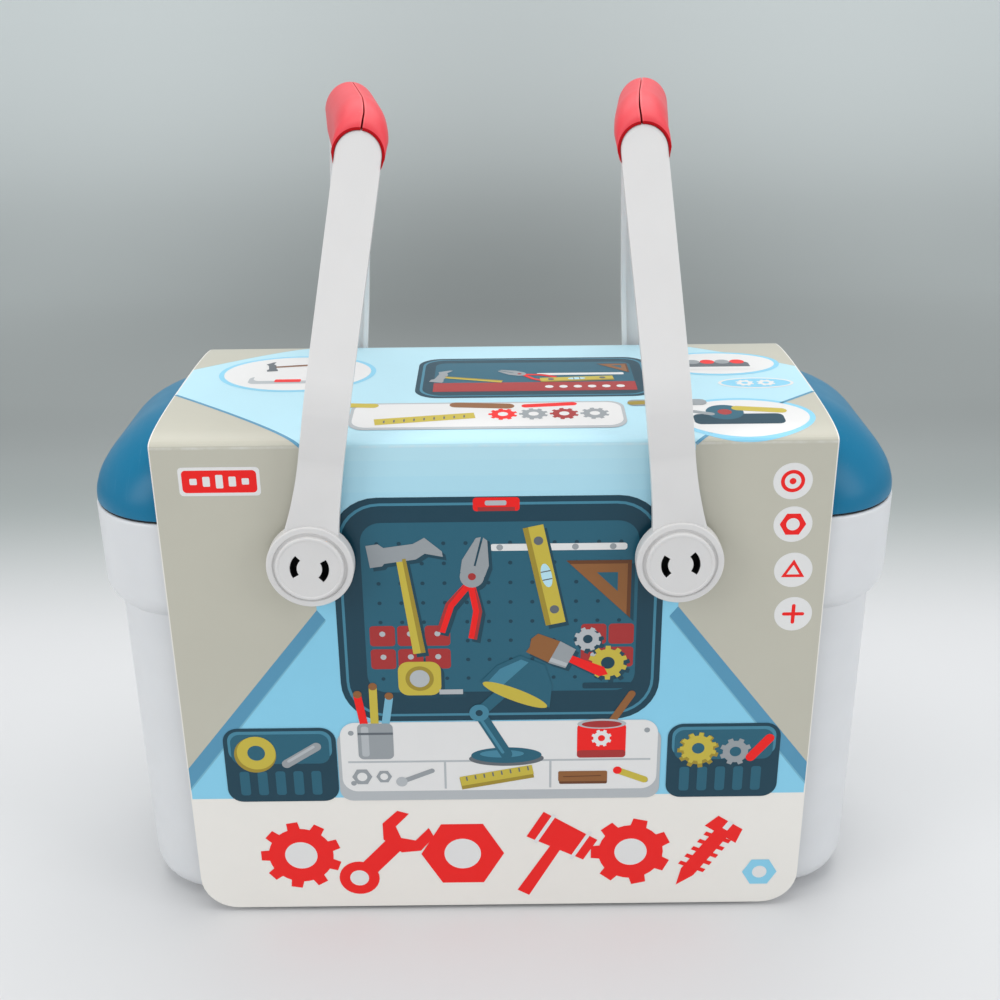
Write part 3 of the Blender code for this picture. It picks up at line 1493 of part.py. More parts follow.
def make_saw():
    x, y, z = saw_place()
    edge = x - saw_handle_length / 2
    blade = plate("saw", [saw_blade_outline()], saw_blade_thickness)
    blade_y = y + saw_handle_height / 2 - saw_blade_width / 2 - saw_handle_corner
    placed(blade, (edge + saw_bury, blade_y, z))
    make_part(blade, "saw_blade", "tool_grey")
    outer = round_rectangle(saw_handle_length, saw_handle_height, saw_handle_corner, 5)
    hole = round_rectangle(saw_hole_length, saw_hole_height, saw_hole_corner, 4,
                           centre=(saw_bury / 2, 0))
    handle = placed(plate("saw_grip", [outer, hole], saw_handle_thickness), (x, y, z))
    socket = block("saw_socket", (saw_bury + fit_gap + overrun, saw_blade_width + 2 * fit_gap,
                                  saw_blade_thickness + 2 * fit_gap))
    socket_x = edge + saw_bury + fit_gap - (saw_bury + fit_gap + overrun) / 2
    cut(handle, placed(socket, (socket_x, blade_y, z - saw_blade_thickness / 2 - fit_gap)))
    return make_part(handle, "saw_handle", "tool_yellow")


def make_strips():
    for index in range(strip_count):
        outer = round_rectangle(strip_length, strip_width, strip_corner, 4)
        holes = [circle((side * strip_hole_distance / 2, 0), strip_hole_radius, 20) for side in (-1, 1)]
        strip = plate("strip", [outer] + holes, strip_thickness)
        y = -tray_front() - tray_item_gap - strip_width / 2 - index * (strip_width + tray_item_gap / 2)
        placed(strip, (0, y, tray_seat + strip_thickness / 2))
        make_part(strip, "wood_strip_" + str(index + 1), "tool_brown")


def make_knife():
    """A marking knife lying along X in front of the strips."""
    y = tray_front() + tray_item_gap + knife_handle_width / 2
    z = tray_seat + knife_handle_thickness / 2
    full = knife_handle_length + knife_blade_length - knife_bury
    x = -full / 2 + knife_handle_length / 2
    outline = round_rectangle(knife_handle_length, knife_handle_width, knife_handle_corner, 4)
    handle = placed(plate("knife_grip", [outline], knife_handle_thickness), (x, y, z))
    edge = x + knife_handle_length / 2
    socket = block("knife_socket", (knife_bury + fit_gap + overrun, knife_blade_width + 2 * fit_gap,
                                    knife_blade_thickness + 2 * fit_gap))
    socket_x = edge - knife_bury - fit_gap + (knife_bury + fit_gap + overrun) / 2
    cut(handle, placed(socket, (socket_x, y, z - knife_blade_thickness / 2 - fit_gap)))
    make_part(handle, "knife_handle", "tool_yellow")
    wide = knife_blade_width / 2
    tip = knife_blade_length
    blade_points = [(0, -wide), (tip - 2 * wide, -wide), (tip, wide), (0, wide)]
    blade = placed(plate("knife", [blade_points], knife_blade_thickness), (edge - knife_bury, y, z))
    return make_part(blade, "knife_blade", "tool_grey")


def make_tool_box():
    make_tub()
    make_lid()
    make_hinge_pins()
    make_latch()
    make_latch_pin()
    make_card()
    make_handle("left", -1, lean_left, twist_left)
    make_handle("right", 1, lean_right, twist_right)
    make_work_tray()
    make_side_tray("side_tray_left", -1)
    make_side_tray("side_tray_right", 1)
    make_peg_rail()
    make_rack()
    make_press_body()
    make_press_quill()
    make_press_lever()
    make_vise_base()
    make_vise_fixed_jaw()
    slide = make_vise_moving_jaw()
    make_vise_screw(slide)
    make_drill()
    make_screwdriver()
    make_capsule()
    make_bolts()
    make_nut()
    make_wrench()
    make_saw()
    make_strips()
    make_knife()


make_tool_box()
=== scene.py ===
import math
import bmesh
import bpy
from mathutils import Matrix, Vector, geometry


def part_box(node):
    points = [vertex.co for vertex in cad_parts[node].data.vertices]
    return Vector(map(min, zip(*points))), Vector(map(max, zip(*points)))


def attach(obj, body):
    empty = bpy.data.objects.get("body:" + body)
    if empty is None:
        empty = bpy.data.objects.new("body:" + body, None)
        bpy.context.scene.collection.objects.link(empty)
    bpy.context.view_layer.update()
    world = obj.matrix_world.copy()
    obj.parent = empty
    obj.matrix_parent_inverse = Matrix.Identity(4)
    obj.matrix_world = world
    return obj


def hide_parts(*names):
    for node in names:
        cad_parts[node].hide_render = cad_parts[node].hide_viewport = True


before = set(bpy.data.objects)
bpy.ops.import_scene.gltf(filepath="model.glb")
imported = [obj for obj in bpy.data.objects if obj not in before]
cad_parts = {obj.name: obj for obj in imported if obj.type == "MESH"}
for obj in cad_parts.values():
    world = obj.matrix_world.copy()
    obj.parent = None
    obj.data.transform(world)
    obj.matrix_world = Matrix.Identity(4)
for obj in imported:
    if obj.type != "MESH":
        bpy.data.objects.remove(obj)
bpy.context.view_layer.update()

# Camera, floor and lamps
# The camera looks down on the front of the box from just above its lid, as a person would who
# stands in front of a table. Floor and wall are one pale sheet with a soft sweep between, with
# painted light and shade on it: greyer at the sweep, lighter up the wall, darker behind the box.
mm = 0.001
camera_place = (0.002, -0.566, 0.426)
camera_down = math.radians(23.14)
camera_side = math.radians(-0.04)
camera_roll = math.radians(-0.62)
camera_lens = 46.8
camera_film = 36.0
camera_near = 0.01


def add_object(name, data):
    """Put a new object into the scene."""
    piece = bpy.data.objects.new(name, data)
    bpy.context.scene.collection.objects.link(piece)
    return piece


camera = add_object("camera", bpy.data.cameras.new("camera"))
camera.data.lens = camera_lens
camera.data.sensor_width = camera_film
camera.data.clip_start = camera_near
look = Matrix.Rotation(camera_side, 4, "Z") @ Matrix.Rotation(math.pi / 2 - camera_down, 4, "X")
camera.matrix_world = Matrix.Translation(camera_place) @ look @ Matrix.Rotation(camera_roll, 4, "Z")
bpy.context.scene.camera = camera

floor_half_width = 5.0
floor_front = -5.0
floor_back = 1.2
floor_sweep = 0.8
floor_wall_height = 4.5
floor_depth = floor_back + floor_sweep
floor_plain = 0.22
floor_colour = (0.73, 0.73, 0.735)
wall_tint = (0.94, 1.0, 0.985)
# Painted light and shade on the backdrop: darker at the sweep, lighter up the wall, and darker behind the
# box in the middle than at the sides.
painted_wall_tones_middle = ((0.39, 0.45), (0.55, 0.35), (0.80, 0.31), (1.10, 0.28), (1.50, 0.46), (1.82, 0.80))
painted_wall_tones_sides = ((0.39, 0.45), (0.55, 0.35), (0.69, 0.35), (1.10, 0.49), (1.50, 0.64), (1.82, 0.92))
painted_shade_middle_width = 0.7


def turns(steps, start=0.0, end=math.pi / 2):
    """Evenly spaced angles from one to another, both included."""
    return [start + (end - start) * step / steps for step in range(steps + 1)]


def smooth(mesh, sharp_angle):
    """Smooth shading, with sharp edges where the mesh bends by more degrees than this."""
    mesh.polygons.foreach_set("use_smooth", [True] * len(mesh.polygons))
    mesh.set_sharp_from_angle(angle=math.radians(sharp_angle))


def mesh_piece(name, bm, sharp_angle=40):
    """Turn a bmesh into an object of the scene."""
    mesh = bpy.data.meshes.new(name)
    bmesh.ops.recalc_face_normals(bm, faces=bm.faces)
    bm.to_mesh(mesh)
    bm.free()
    smooth(mesh, sharp_angle)
    return add_object(name, mesh)


def bridge(bm, low, high, closed=True):
    """Faces between two rows of corners, which may close on themselves."""
    for i in range(len(low) if closed else len(low) - 1):
        j = (i + 1) % len(low)
        bm.faces.new((low[i], low[j], high[j], high[i]))


def skin(bm, rings, closed=True):
    """Skin rings of equal counts, one after another; open rings make a sheet."""
    rows = [[bm.verts.new(point) for point in ring] for ring in rings]
    for low, high in zip(rows, rows[1:]):
        bridge(bm, low, high, closed)
    return rows


def make_floor():
    """A flat floor that sweeps up into a wall far behind the box."""
    section = [(floor_front, 0), (floor_back, 0)]
    for turn in turns(12)[1:]:
        section.append((floor_back + floor_sweep * math.sin(turn), floor_sweep * (1 - math.cos(turn))))
    section.append((floor_back + floor_sweep, floor_wall_height))
    bm = bmesh.new()
    skin(bm, [[(side * floor_half_width, y, z) for side in (-1, 1)] for y, z in section], closed=False)
    return mesh_piece("floor", bm)


def new_material(name, colour, roughness):
    """A material with its node tree and its shader."""
    material = bpy.data.materials.new(name)
    material.use_nodes = True
    shader = material.node_tree.nodes["Principled BSDF"]
    shader.inputs["Base Color"].default_value = (*colour, 1)
    shader.inputs["Roughness"].default_value = roughness
    return material, material.node_tree, shader


def feed(tree, socket, value):
    """Link an input to another node's output, or set it to a plain value."""
    if isinstance(value, bpy.types.NodeSocket):
        tree.links.new(value, socket)
    else:
        socket.default_value = value


def add_node(tree, kind, settings=None, **inputs):
    """Add a shader node with its settings; from_min=0.3 feeds the input From Min."""
    node = tree.nodes.new("ShaderNode" + kind)
    for name, value in (settings or {}).items():
        setattr(node, name, value)
    for name, value in inputs.items():
        feed(tree, node.inputs[name.replace("_", " ").title()], value)
    return node


def object_place(tree):
    return add_node(tree, "TexCoord").outputs["Object"]


def calculate(tree, operation, *values):
    """The output of a math node that is fed these values in turn."""
    node = add_node(tree, "Math", {"operation": operation})
    for socket, value in zip(node.inputs, values):
        feed(tree, socket, value)
    return node.outputs["Value"]


def blend(tree, factor, first, second):
    """The mix of two colours by a factor."""
    return add_node(tree, "Mix", {"data_type": "RGBA"}, factor=factor, a=first, b=second).outputs["Result"]


def painted_light_ramp(tree, share_back, tones):
    """Painted light and shade on the paper, from the floor in front to the top of the wall, by how far back
    they lie.
    """
    ramp = add_node(tree, "ValToRGB", fac=share_back)
    ramp.color_ramp.interpolation = "CARDINAL"
    stops = ramp.color_ramp.elements
    stops[0].position = floor_plain / floor_depth
    stops[0].color = (*floor_colour, 1)
    stops.remove(stops[1])
    for back, tone in tones:
        stops.new(back / floor_depth).color = (*(tone * channel for channel in wall_tint), 1)
    return ramp.outputs["Color"]


def floor_material():
    """Pale paper on the floor, with painted shade that turns it a quiet grey at the sweep, painted light
    that makes it lighter again up the wall, and painted shade behind the box.
    """
    material, tree, shader = new_material("floor_paper_painted_light", floor_colour, 0.6)
    split = add_node(tree, "SeparateXYZ", vector=object_place(tree))
    share_back = calculate(tree, "DIVIDE", split.outputs["Y"], floor_depth)
    spread = add_node(tree, "MapRange", {"interpolation_type": "SMOOTHSTEP"}, from_max=painted_shade_middle_width,
                      value=calculate(tree, "ABSOLUTE", split.outputs["X"]))
    middle = painted_light_ramp(tree, share_back, painted_wall_tones_middle)
    sides = painted_light_ramp(tree, share_back, painted_wall_tones_sides)
    feed(tree, shader.inputs["Base Color"], blend(tree, spread.outputs["Result"], middle, sides))
    return material


floor = make_floor()
floor.data.materials.append(floor_material())

world_colour = (0.93, 0.96, 1.0)
world_strength = 0.58
world = bpy.data.worlds.new("studio")
world.use_nodes = True
background = world.node_tree.nodes["Background"]
background.inputs["Color"].default_value = (*world_colour, 1)
background.inputs["Strength"].default_value = world_strength
bpy.context.scene.world = world
bpy.context.scene.view_settings.view_transform = "Standard"

box_middle = Vector((0, 0, 0.17))
lamp_warm = (1.0, 0.99, 0.97)
lamp_white = (1.0, 1.0, 1.0)


def add_lamp(name, place, size, power, colour):
    """A soft rectangular lamp that faces the middle of the box."""
    data = bpy.data.lights.new(name, "AREA")
    data.shape = "RECTANGLE"
    data.size, data.size_y = size
    data.energy = power
    data.color = colour
    lamp = add_object(name, data)
    lamp.location = place
    lamp.rotation_euler = (Vector(place) - box_middle).to_track_quat("Z", "Y").to_euler()


add_lamp("lamp_above", place=(0.05, -0.08, 1.25), size=(1.1, 0.7), power=5.5, colour=lamp_warm)
add_lamp("lamp_left", place=(-1.1, -0.75, 0.75), size=(0.6, 0.9), power=4.6, colour=lamp_warm)
add_lamp("lamp_behind", place=(0.0, 0.75, 1.25), size=(1.4, 0.6), power=4.5, colour=lamp_white)
add_lamp("lamp_right", place=(1.1, -0.65, 0.7), size=(0.6, 0.9), power=3.8, colour=lamp_white)

# Tub
# The body of the box: one thin moulding of white satin plastic, a deep narrow tub with a wider
# band round its top that the lid closes on. Four round bosses on the band carry the handles.
tub_length = 342.4 * mm
tub_depth = 121 * mm
tub_wall = 2.5 * mm
tub_floor = 3.2 * mm
tub_corner = 34 * mm
tub_bottom_round = 16 * mm
band_overhang = 6 * mm
band_bottom = 154.8 * mm
band_round = 12.5 * mm
band_swell = 0.35 * mm
band_lead = (2.2 * mm, 0.5 * mm)
rim_height = 202.5 * mm
rim_round = 1.2 * mm
rim_chamfer = 0.3 * mm
seam_height = 202.8 * mm
ledge_height = 163.0 * mm
ledge_round = (5 * mm, 6 * mm)
ledge_drop = 0.5 * mm
flat_hold = 2 * mm
flat_hold_share = 0.9
pivot_spacing = 154.8 * mm
pivot_height = 187.4 * mm
boss_radius = 11.5 * mm
boss_face = 71.2 * mm
boss_depth = 5.7 * mm
boss_bore = 6.0 * mm
boss_chamfer = 0.5 * mm
shell_white = (0.77, 0.785, 0.80)
dust_colour = (0.72, 0.71, 0.69)


def round_rectangle(half_x, half_y, corner, steps=12):
    """Outline of a rounded rectangle, with a point just before and after each corner."""
    points = []
    hold = min(flat_hold, half_y - corner, half_x - corner) * flat_hold_share
    for quarter in range(4):
        turn = math.pi / 2 * quarter
        side_x = 1 if quarter in (0, 3) else -1
        side_y = 1 if quarter in (0, 1) else -1
        centre = Vector((side_x * (half_x - corner), side_y * (half_y - corner)))
        arc = [centre + Vector((math.cos(angle), math.sin(angle))) * corner
               for angle in turns(steps, turn, turn + math.pi / 2)]
        before = Vector((-math.sin(turn), math.cos(turn)))
        after = Vector((-math.cos(turn), -math.sin(turn)))
        points += [arc[0] - before * hold, *arc, arc[-1] + after * hold]
    return points


def lofted(bm, rings, tube=False):
    """Skin closed rings and close the ends, or join the last to the first."""
    rows = skin(bm, rings)
    if tube:
        bridge(bm, rows[-1], rows[0])
    else:
        bm.faces.new(list(reversed(rows[0])))
        bm.faces.new(rows[-1])


def shell_ring(inset, height):
    """A level ring round the tub, so far inside the band's outer face."""
    half_x = tub_length / 2 + band_overhang - inset
    half_y = tub_depth / 2 + band_overhang - inset
    outline = round_rectangle(half_x, half_y, tub_corner + band_overhang - inset)
    return [(x, y, height) for x, y in outline]


def tub_outside():
    """Inset and height of the outer skin from the foot to the rim."""
    profile = [(band_overhang + tub_bottom_round * (1 - math.sin(turn)),
                tub_bottom_round * (1 - math.cos(turn))) for turn in turns(10)]
    profile.append((band_overhang, tub_bottom_round + flat_hold))
    meet = math.acos(1 - band_overhang / band_round)
    start = band_bottom + band_round * (1 - math.sin(meet))
    profile += [(band_overhang, start - lead) for lead in band_lead]
    for turn in turns(10, meet, 0.0):
        inset = band_round * (1 - math.cos(turn)) - (band_swell if turn == meet else 0)
        profile.append((inset, band_bottom + band_round * (1 - math.sin(turn))))
    profile += [(0, band_bottom + band_round + flat_hold), (0, rim_height - rim_round - flat_hold)]
    for turn in turns(4):
        profile.append((rim_round * (1 - math.cos(turn)), rim_height - rim_round * (1 - math.sin(turn))))
    return profile


def tub_inside():
    """Inset and height of the inner skin from the rim down over the ledge to the floor."""
    lower = band_overhang + tub_wall
    inward, upward = ledge_round
    profile = [(tub_wall - rim_chamfer, rim_height), (tub_wall, rim_height - rim_chamfer),
               (tub_wall, ledge_height + upward)]
    for turn in turns(4)[1:]:
        profile.append((tub_wall + inward * (1 - math.cos(turn)),
                        ledge_height + upward * (1 - math.sin(turn))))
    profile.append((lower, ledge_height - ledge_drop))
    inner_round = tub_bottom_round - tub_wall
    for turn in turns(6):
        profile.append((lower + inner_round * (1 - math.cos(turn)),
                        tub_floor + inner_round * (1 - math.sin(turn))))
    return profile


def lathe(bm, profile, centre, axis, segments=48, tube=False):
    """Turn a profile of radius and height round an axis; a tube's profile closes on itself."""
    turn = Vector((0, 0, 1)).rotation_difference(Vector(axis)).to_matrix()
    angles = turns(segments, 0.0, 2 * math.pi)[:-1]
    lofted(bm, [[Vector(centre) + turn @ Vector((radius * math.cos(angle), radius * math.sin(angle), height))
                 for angle in angles] for radius, height in profile], tube)


def make_tub():
    """The tub's whole skin, with a bored boss for each of the four hubs."""
    bm = bmesh.new()
    lofted(bm, [shell_ring(inset, height) for inset, height in tub_outside() + tub_inside()])
    boss = [(boss_bore, 0), (boss_radius, 0), (boss_radius, boss_depth - boss_chamfer),
            (boss_radius - boss_chamfer, boss_depth), (boss_bore, boss_depth)]
    for side_x in (-1, 1):
        for side_y in (-1, 1):
            centre = (side_x * pivot_spacing / 2, side_y * (boss_face - boss_depth), pivot_height)
            lathe(bm, boss, centre, (0, side_y, 0), tube=True)
    return mesh_piece("tub_shell", bm, 28)


def noise(tree, place, scale, detail, roughness=0.5, distortion=0.0):
    """The value of a noise texture at a place."""
    return add_node(tree, "TexNoise", vector=place, scale=scale, detail=detail, roughness=roughness,
                    distortion=distortion).outputs["Fac"]


def bump(tree, height, strength, distance, **normal):
    """The normal of a bump, which may lie on another bump's normal."""
    return add_node(tree, "Bump", height=height, strength=strength, distance=distance,
                    **normal).outputs["Normal"]


def mapped(tree, value, low=0.0, high=1.0, to_low=0.0, to_high=1.0):
    """A value stretched from one range to another."""
    return add_node(tree, "MapRange", value=value, from_min=low, from_max=high, to_min=to_low,
                    to_max=to_high).outputs["Result"]


def shader_group(name, results):
    """A node group that gives the named results, each a number or a vector."""
    group = bpy.data.node_groups.new(name, "ShaderNodeTree")
    for result, kind in results.items():
        group.interface.new_socket(name=result, in_out="OUTPUT", socket_type="NodeSocket" + kind)
    return group, group.nodes.new("NodeGroupOutput")


def plastic_finish():
    """What every moulded piece shows: faint grain, soft sink marks, paler edges that are wear and painted
    highlight, and a little dust.
    """
    group, out = shader_group("moulded_plastic", {"Edge_wear_and_highlight": "Float", "Dust": "Float", "Cloud": "Float",
                                                  "Normal": "Vector"})
    place = object_place(group)
    shape = add_node(group, "NewGeometry")
    upward = add_node(group, "SeparateXYZ", vector=shape.outputs["Normal"]).outputs["Z"]
    specks = noise(group, place, scale=420, detail=4, roughness=0.75)
    dust = calculate(group, "MULTIPLY", mapped(group, upward, 0.35, 1.0), mapped(group, specks, 0.62, 0.74))
    sink = bump(group, noise(group, place, scale=26, detail=1), strength=0.22, distance=1.2 * mm)
    grain = noise(group, place, scale=1400, detail=2)
    feed(group, out.inputs["Edge_wear_and_highlight"], mapped(group, shape.outputs["Pointiness"], 0.53, 0.62))
    feed(group, out.inputs["Dust"], dust)
    feed(group, out.inputs["Cloud"], noise(group, place, scale=60, detail=3))
    feed(group, out.inputs["Normal"], bump(group, grain, strength=0.10, distance=0.06 * mm, normal=sink))
    return group


moulded_plastic = plastic_finish()


def blend_colour(tree, factor, first, second, amount):
    """Mix a colour, or what already feeds it, with a second one where the factor is high."""
    share = calculate(tree, "MULTIPLY", factor, amount)
    base = first if isinstance(first, bpy.types.NodeSocket) else (*first, 1)
    return blend(tree, share, base, (*second, 1))


def moulded_material(name, colour, roughness, edge_wear_and_highlight=0.25, edge_wear_and_highlight_colour=None, dust=0.25, scatter=0.0):
    """Satin moulded plastic in one colour, with paler edges (wear and painted highlight), dust and a
    slightly uneven gloss.
    """
    material, tree, shader = new_material(name, colour, roughness)
    finish = add_node(tree, "Group", {"node_tree": moulded_plastic}).outputs
    pale = edge_wear_and_highlight_colour or tuple(min(1.0, channel * 1.25 + 0.05) for channel in colour)
    deep = tuple(channel * 0.93 for channel in colour)
    tone = blend_colour(tree, finish["Cloud"], colour, deep, 0.9)
    # Paler edges: wear, and painted highlight along rounded edges.
    tone = blend_colour(tree, finish["Edge_wear_and_highlight"], tone, pale, edge_wear_and_highlight)
    tone = blend_colour(tree, finish["Dust"], tone, dust_colour, dust)
    gloss = mapped(tree, finish["Cloud"], to_low=roughness - 0.05, to_high=roughness + 0.07)
    for socket, value in (("Base Color", tone), ("Roughness", gloss), ("Normal", finish["Normal"]),
                          ("Subsurface Weight", scatter), ("Subsurface Radius", (1.0, 0.9, 0.8)),
                          ("Subsurface Scale", 1.5 * mm)):
        feed(tree, shader.inputs[socket], value)
    return material


white_plastic = moulded_material("white_plastic", shell_white, 0.38, scatter=0.15)
tub_shell = make_tub()
tub_shell.data.materials.append(white_plastic)
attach(tub_shell, "box")
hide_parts("tub")

# Lid
# A deep blue satin moulding: a short upright foot that sits on the band's rim with a fine seam
# under its lip, painted near black as its shadow, then a dome that rises in a full curve and runs
# flat along the top.
lid_inset = 0.5 * mm
lid_wall = 2.5 * mm
lid_upright = 2.5 * mm
lid_height = 39.6 * mm
lid_seam_gap = 0.8 * mm
lid_seam_depth = 0.5 * mm
lid_lip_round = 0.5 * mm
dome_fullness = 1.8
dome_corner_share = 0.3
dome_reach_x = 48 * mm
dome_reach_y = 35 * mm
lid_blue = (0.0, 0.175, 0.335)
# Painted highlight along the lid's edges, as the light line along its lower lip.
lid_edge_highlight_blue = (0.05, 0.38, 0.58)
lid_scratch_blue = (0.10, 0.30, 0.46)
seam_painted_shadow = (0.003, 0.006, 0.010)


def lid_ring(wall, share, height):
    """A level ring of the dome: share is 0 at the foot and 1 on the flat top."""
    half_x = tub_length / 2 + band_overhang - lid_inset - wall
    half_y = tub_depth / 2 + band_overhang - lid_inset - wall
    corner = tub_corner + band_overhang - lid_inset - wall
    in_x = (dome_reach_x - wall) * share
    in_y = (dome_reach_y - wall) * share
    outline = round_rectangle(half_x - in_x, half_y - in_y, corner * (1 - dome_corner_share * share))
    return [(x, y, seam_height + height) for x, y in outline]


def dome_rings(wall, steps=20):
    """Rings from the dome's foot to its top, for its outer skin or one a wall further in."""
    rings = []
    for turn in turns(steps):
        height = lid_upright + (lid_height - wall - lid_upright) * math.sin(turn) ** (2 / dome_fullness)
        rings.append(lid_ring(wall, 1 - math.cos(turn) ** (2 / dome_fullness), height))
    return rings


def make_lid():
    """The lid's whole skin; the faces in the seam get the second material, near black as painted shadow."""
    bm = bmesh.new()
    foot = [lid_ring(lid_seam_depth, 0, 0), lid_ring(lid_seam_depth, 0, lid_seam_gap)]
    for turn in turns(4):
        inset = lid_lip_round * (1 - math.sin(turn))
        foot.append(lid_ring(inset, 0, lid_seam_gap + lid_lip_round * (1 - math.cos(turn))))
    outside = foot + [lid_ring(0, 0, lid_seam_gap + 2 * lid_lip_round)] + dome_rings(0)
    inside = [lid_ring(lid_wall, 0, 0)] + dome_rings(lid_wall, 10)
    lofted(bm, list(reversed(inside)) + outside)
    lid = mesh_piece("lid_shell", bm, 28)
    seam_top = seam_height + lid_seam_gap + 0.01 * mm
    for face in lid.data.polygons:
        in_seam = all(lid.data.vertices[index].co.z < seam_top for index in face.vertices)
        face.material_index = 1 if in_seam else 0
    return lid


def stretched_noise(tree, stretch, detail, rotation=(0, 0, 0), distortion=0.0):
    """Noise drawn out along one axis: scratches, wood grain or drawn lines."""
    place = add_node(tree, "Mapping", vector=object_place(tree), rotation=rotation, scale=stretch)
    return noise(tree, place.outputs["Vector"], scale=1.0, detail=detail, distortion=distortion)


def lid_material():
    """Deep blue satin plastic with fine scratches from handling."""
    material = moulded_material("lid_plastic", lid_blue, 0.33, edge_wear_and_highlight=0.6, edge_wear_and_highlight_colour=lid_edge_highlight_blue,
                                dust=0.05)
    tree = material.node_tree
    inputs = tree.nodes["Principled BSDF"].inputs
    inputs["Specular IOR Level"].default_value = 0.3
    scratch = stretched_noise(tree, (900, 45, 45), detail=3, rotation=(0.3, 0.5, 0.7))
    plain = inputs["Base Color"].links[0].from_socket
    tone = blend_colour(tree, mapped(tree, scratch, 0.66, 0.74), plain, lid_scratch_blue, 0.22)
    feed(tree, inputs["Base Color"], tone)
    return material


lid_shell = make_lid()
lid_shell.data.materials.append(lid_material())
# The seam's faces are painted near black: painted shadow in the gap under the lid's lip.
lid_shell.data.materials.append(moulded_material("lid_seam_painted_shadow", seam_painted_shadow, 0.8, edge_wear_and_highlight=0, dust=0))
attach(lid_shell, "box")
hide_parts("lid")

# Card sleeve
# One sheet of white-backed grey board, creased at the front and back edges of the lid and arched
# over it. It is printed and varnished outside, die-cut with round corners and four round holes,
# and the handle hubs clamp it to the band.
card_width = 283 * mm
card_thickness = 0.8 * mm
card_half_depth = 68.3 * mm
card_foot = 2.2 * mm
card_corner = 17 * mm
card_corner_steps = 9
card_columns = (-1, -0.55, 0, 0.55, 1)
card_arch = 6.1 * mm
card_arch_power = 2.7
card_crease_hold = 0.6 * mm
card_hole = 12.3 * mm
cutter_reach = 10 * mm
cut_sharp_angle = 32
ink_step = 0.02 * mm
card_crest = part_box("card_sleeve")[1].z
card_crease = card_crest - card_arch
crease_wear_and_highlight_height = card_crease + 0.2 * mm
paper_white = (0.92, 0.895, 0.84)
worn_and_highlight_white = (0.80, 0.80, 0.79)
edge_grey = (0.70, 0.68, 0.63)
fibre_light = (0.74, 0.72, 0.67)
fibre_dark = (0.58, 0.56, 0.52)


def card_section():
    """Points of the outer face in YZ, from the front's foot over the arch to the back's foot."""
    flap = [card_foot + card_corner * (1 - math.cos(turn)) for turn in turns(card_corner_steps)]
    flap.append(card_crease - card_crease_hold)
    arch = []
    for turn in turns(32, math.pi, 0.0):
        along = math.copysign(abs(math.cos(turn)) ** (2 / card_arch_power), math.cos(turn))
        rise = abs(math.sin(turn)) ** (2 / card_arch_power)
        arch.append((card_half_depth * along, card_crease + card_arch * rise))
    front = [(-card_half_depth, height) for height in flap]
    back = [(card_half_depth, height) for height in reversed(flap)]
    return [Vector(point) for point in front + arch + back]


card_points = card_section()
card_lengths = [0.0]
for near, far in zip(card_points, card_points[1:]):
    card_lengths.append(card_lengths[-1] + (far - near).length)


def card_half_width(height):
    """Half the card's width at a height, less at its round lower corners."""
    up = height - card_foot
    if up >= card_corner:
        return card_width / 2
    return card_width / 2 - card_corner + math.sqrt(max(0, card_corner ** 2 - (card_corner - up) ** 2))


def set_mesh(piece):
    """Make a piece's modifiers part of its mesh."""
    bpy.context.view_layer.update()
    graph = bpy.context.evaluated_depsgraph_get()
    mesh = bpy.data.meshes.new_from_object(piece.evaluated_get(graph))
    piece.modifiers.clear()
    piece.data = mesh
    smooth(mesh, cut_sharp_angle)


def cut_with(piece, cutter):
    """Take a cutter's shape out of a piece for good."""
    hole = piece.modifiers.new("hole", "BOOLEAN")
    hole.operation = "DIFFERENCE"
    hole.solver = "EXACT"
    hole.material_mode = "TRANSFER"
    hole.object = cutter
    set_mesh(piece)
    bpy.data.objects.remove(cutter)


def make_card():
    """The folded sheet with its thickness, bored for the four hubs."""
    bm = bmesh.new()
    skin(bm, [[(share * card_half_width(z), y, z) for share in card_columns] for y, z in card_points],
         closed=False)
    card = mesh_piece("card", bm, 50)
    card.data.materials.append(card_material("card_face", paper_white))
    card.data.materials.append(card_edge_material())
    thickness = card.modifiers.new("thickness", "SOLIDIFY")
    thickness.thickness = card_thickness
    thickness.offset = -1
    thickness.use_even_offset = True
    thickness.material_offset_rim = 1
    set_mesh(card)
    start = -card_half_depth - cutter_reach
    for side in (-1, 1):
        bm = bmesh.new()
        lathe(bm, [(card_hole, 0), (card_hole, -2 * start)], (side * pivot_spacing / 2, start, pivot_height),
              (0, 1, 0))
        cutter = mesh_piece("card_hole_cutter", bm)
        cutter.data.materials.append(card.data.materials[1])
        cut_with(card, cutter)
    return card


def card_finish():
    """Print on varnished board: a little colour drift, a paler ragged line on the crease that is wear and
    painted highlight, and a surface that isn't flat.
    """
    group, out = shader_group("varnished_print", {"Wear_and_highlight": "Float", "Drift": "Float", "Normal": "Vector"})
    place = object_place(group)
    height = add_node(group, "SeparateXYZ", vector=place).outputs["Z"]
    from_crease = calculate(group, "ABSOLUTE", calculate(group, "SUBTRACT", height, crease_wear_and_highlight_height))
    ragged = noise(group, place, scale=240, detail=5)
    wear_and_highlight = calculate(group, "MULTIPLY", mapped(group, from_crease, 0.8 * mm, 0.2 * mm),
                     mapped(group, ragged, 0.30, 0.75))
    sway = bump(group, noise(group, place, scale=11, detail=0), strength=0.30, distance=3.0 * mm)
    fibre = noise(group, place, scale=900, detail=3)
    feed(group, out.inputs["Wear_and_highlight"], wear_and_highlight)
    feed(group, out.inputs["Drift"], noise(group, place, scale=18, detail=6, roughness=0.7))
    feed(group, out.inputs["Normal"], bump(group, fibre, strength=0.12, distance=0.05 * mm, normal=sway))
    return group


varnished_print = card_finish()


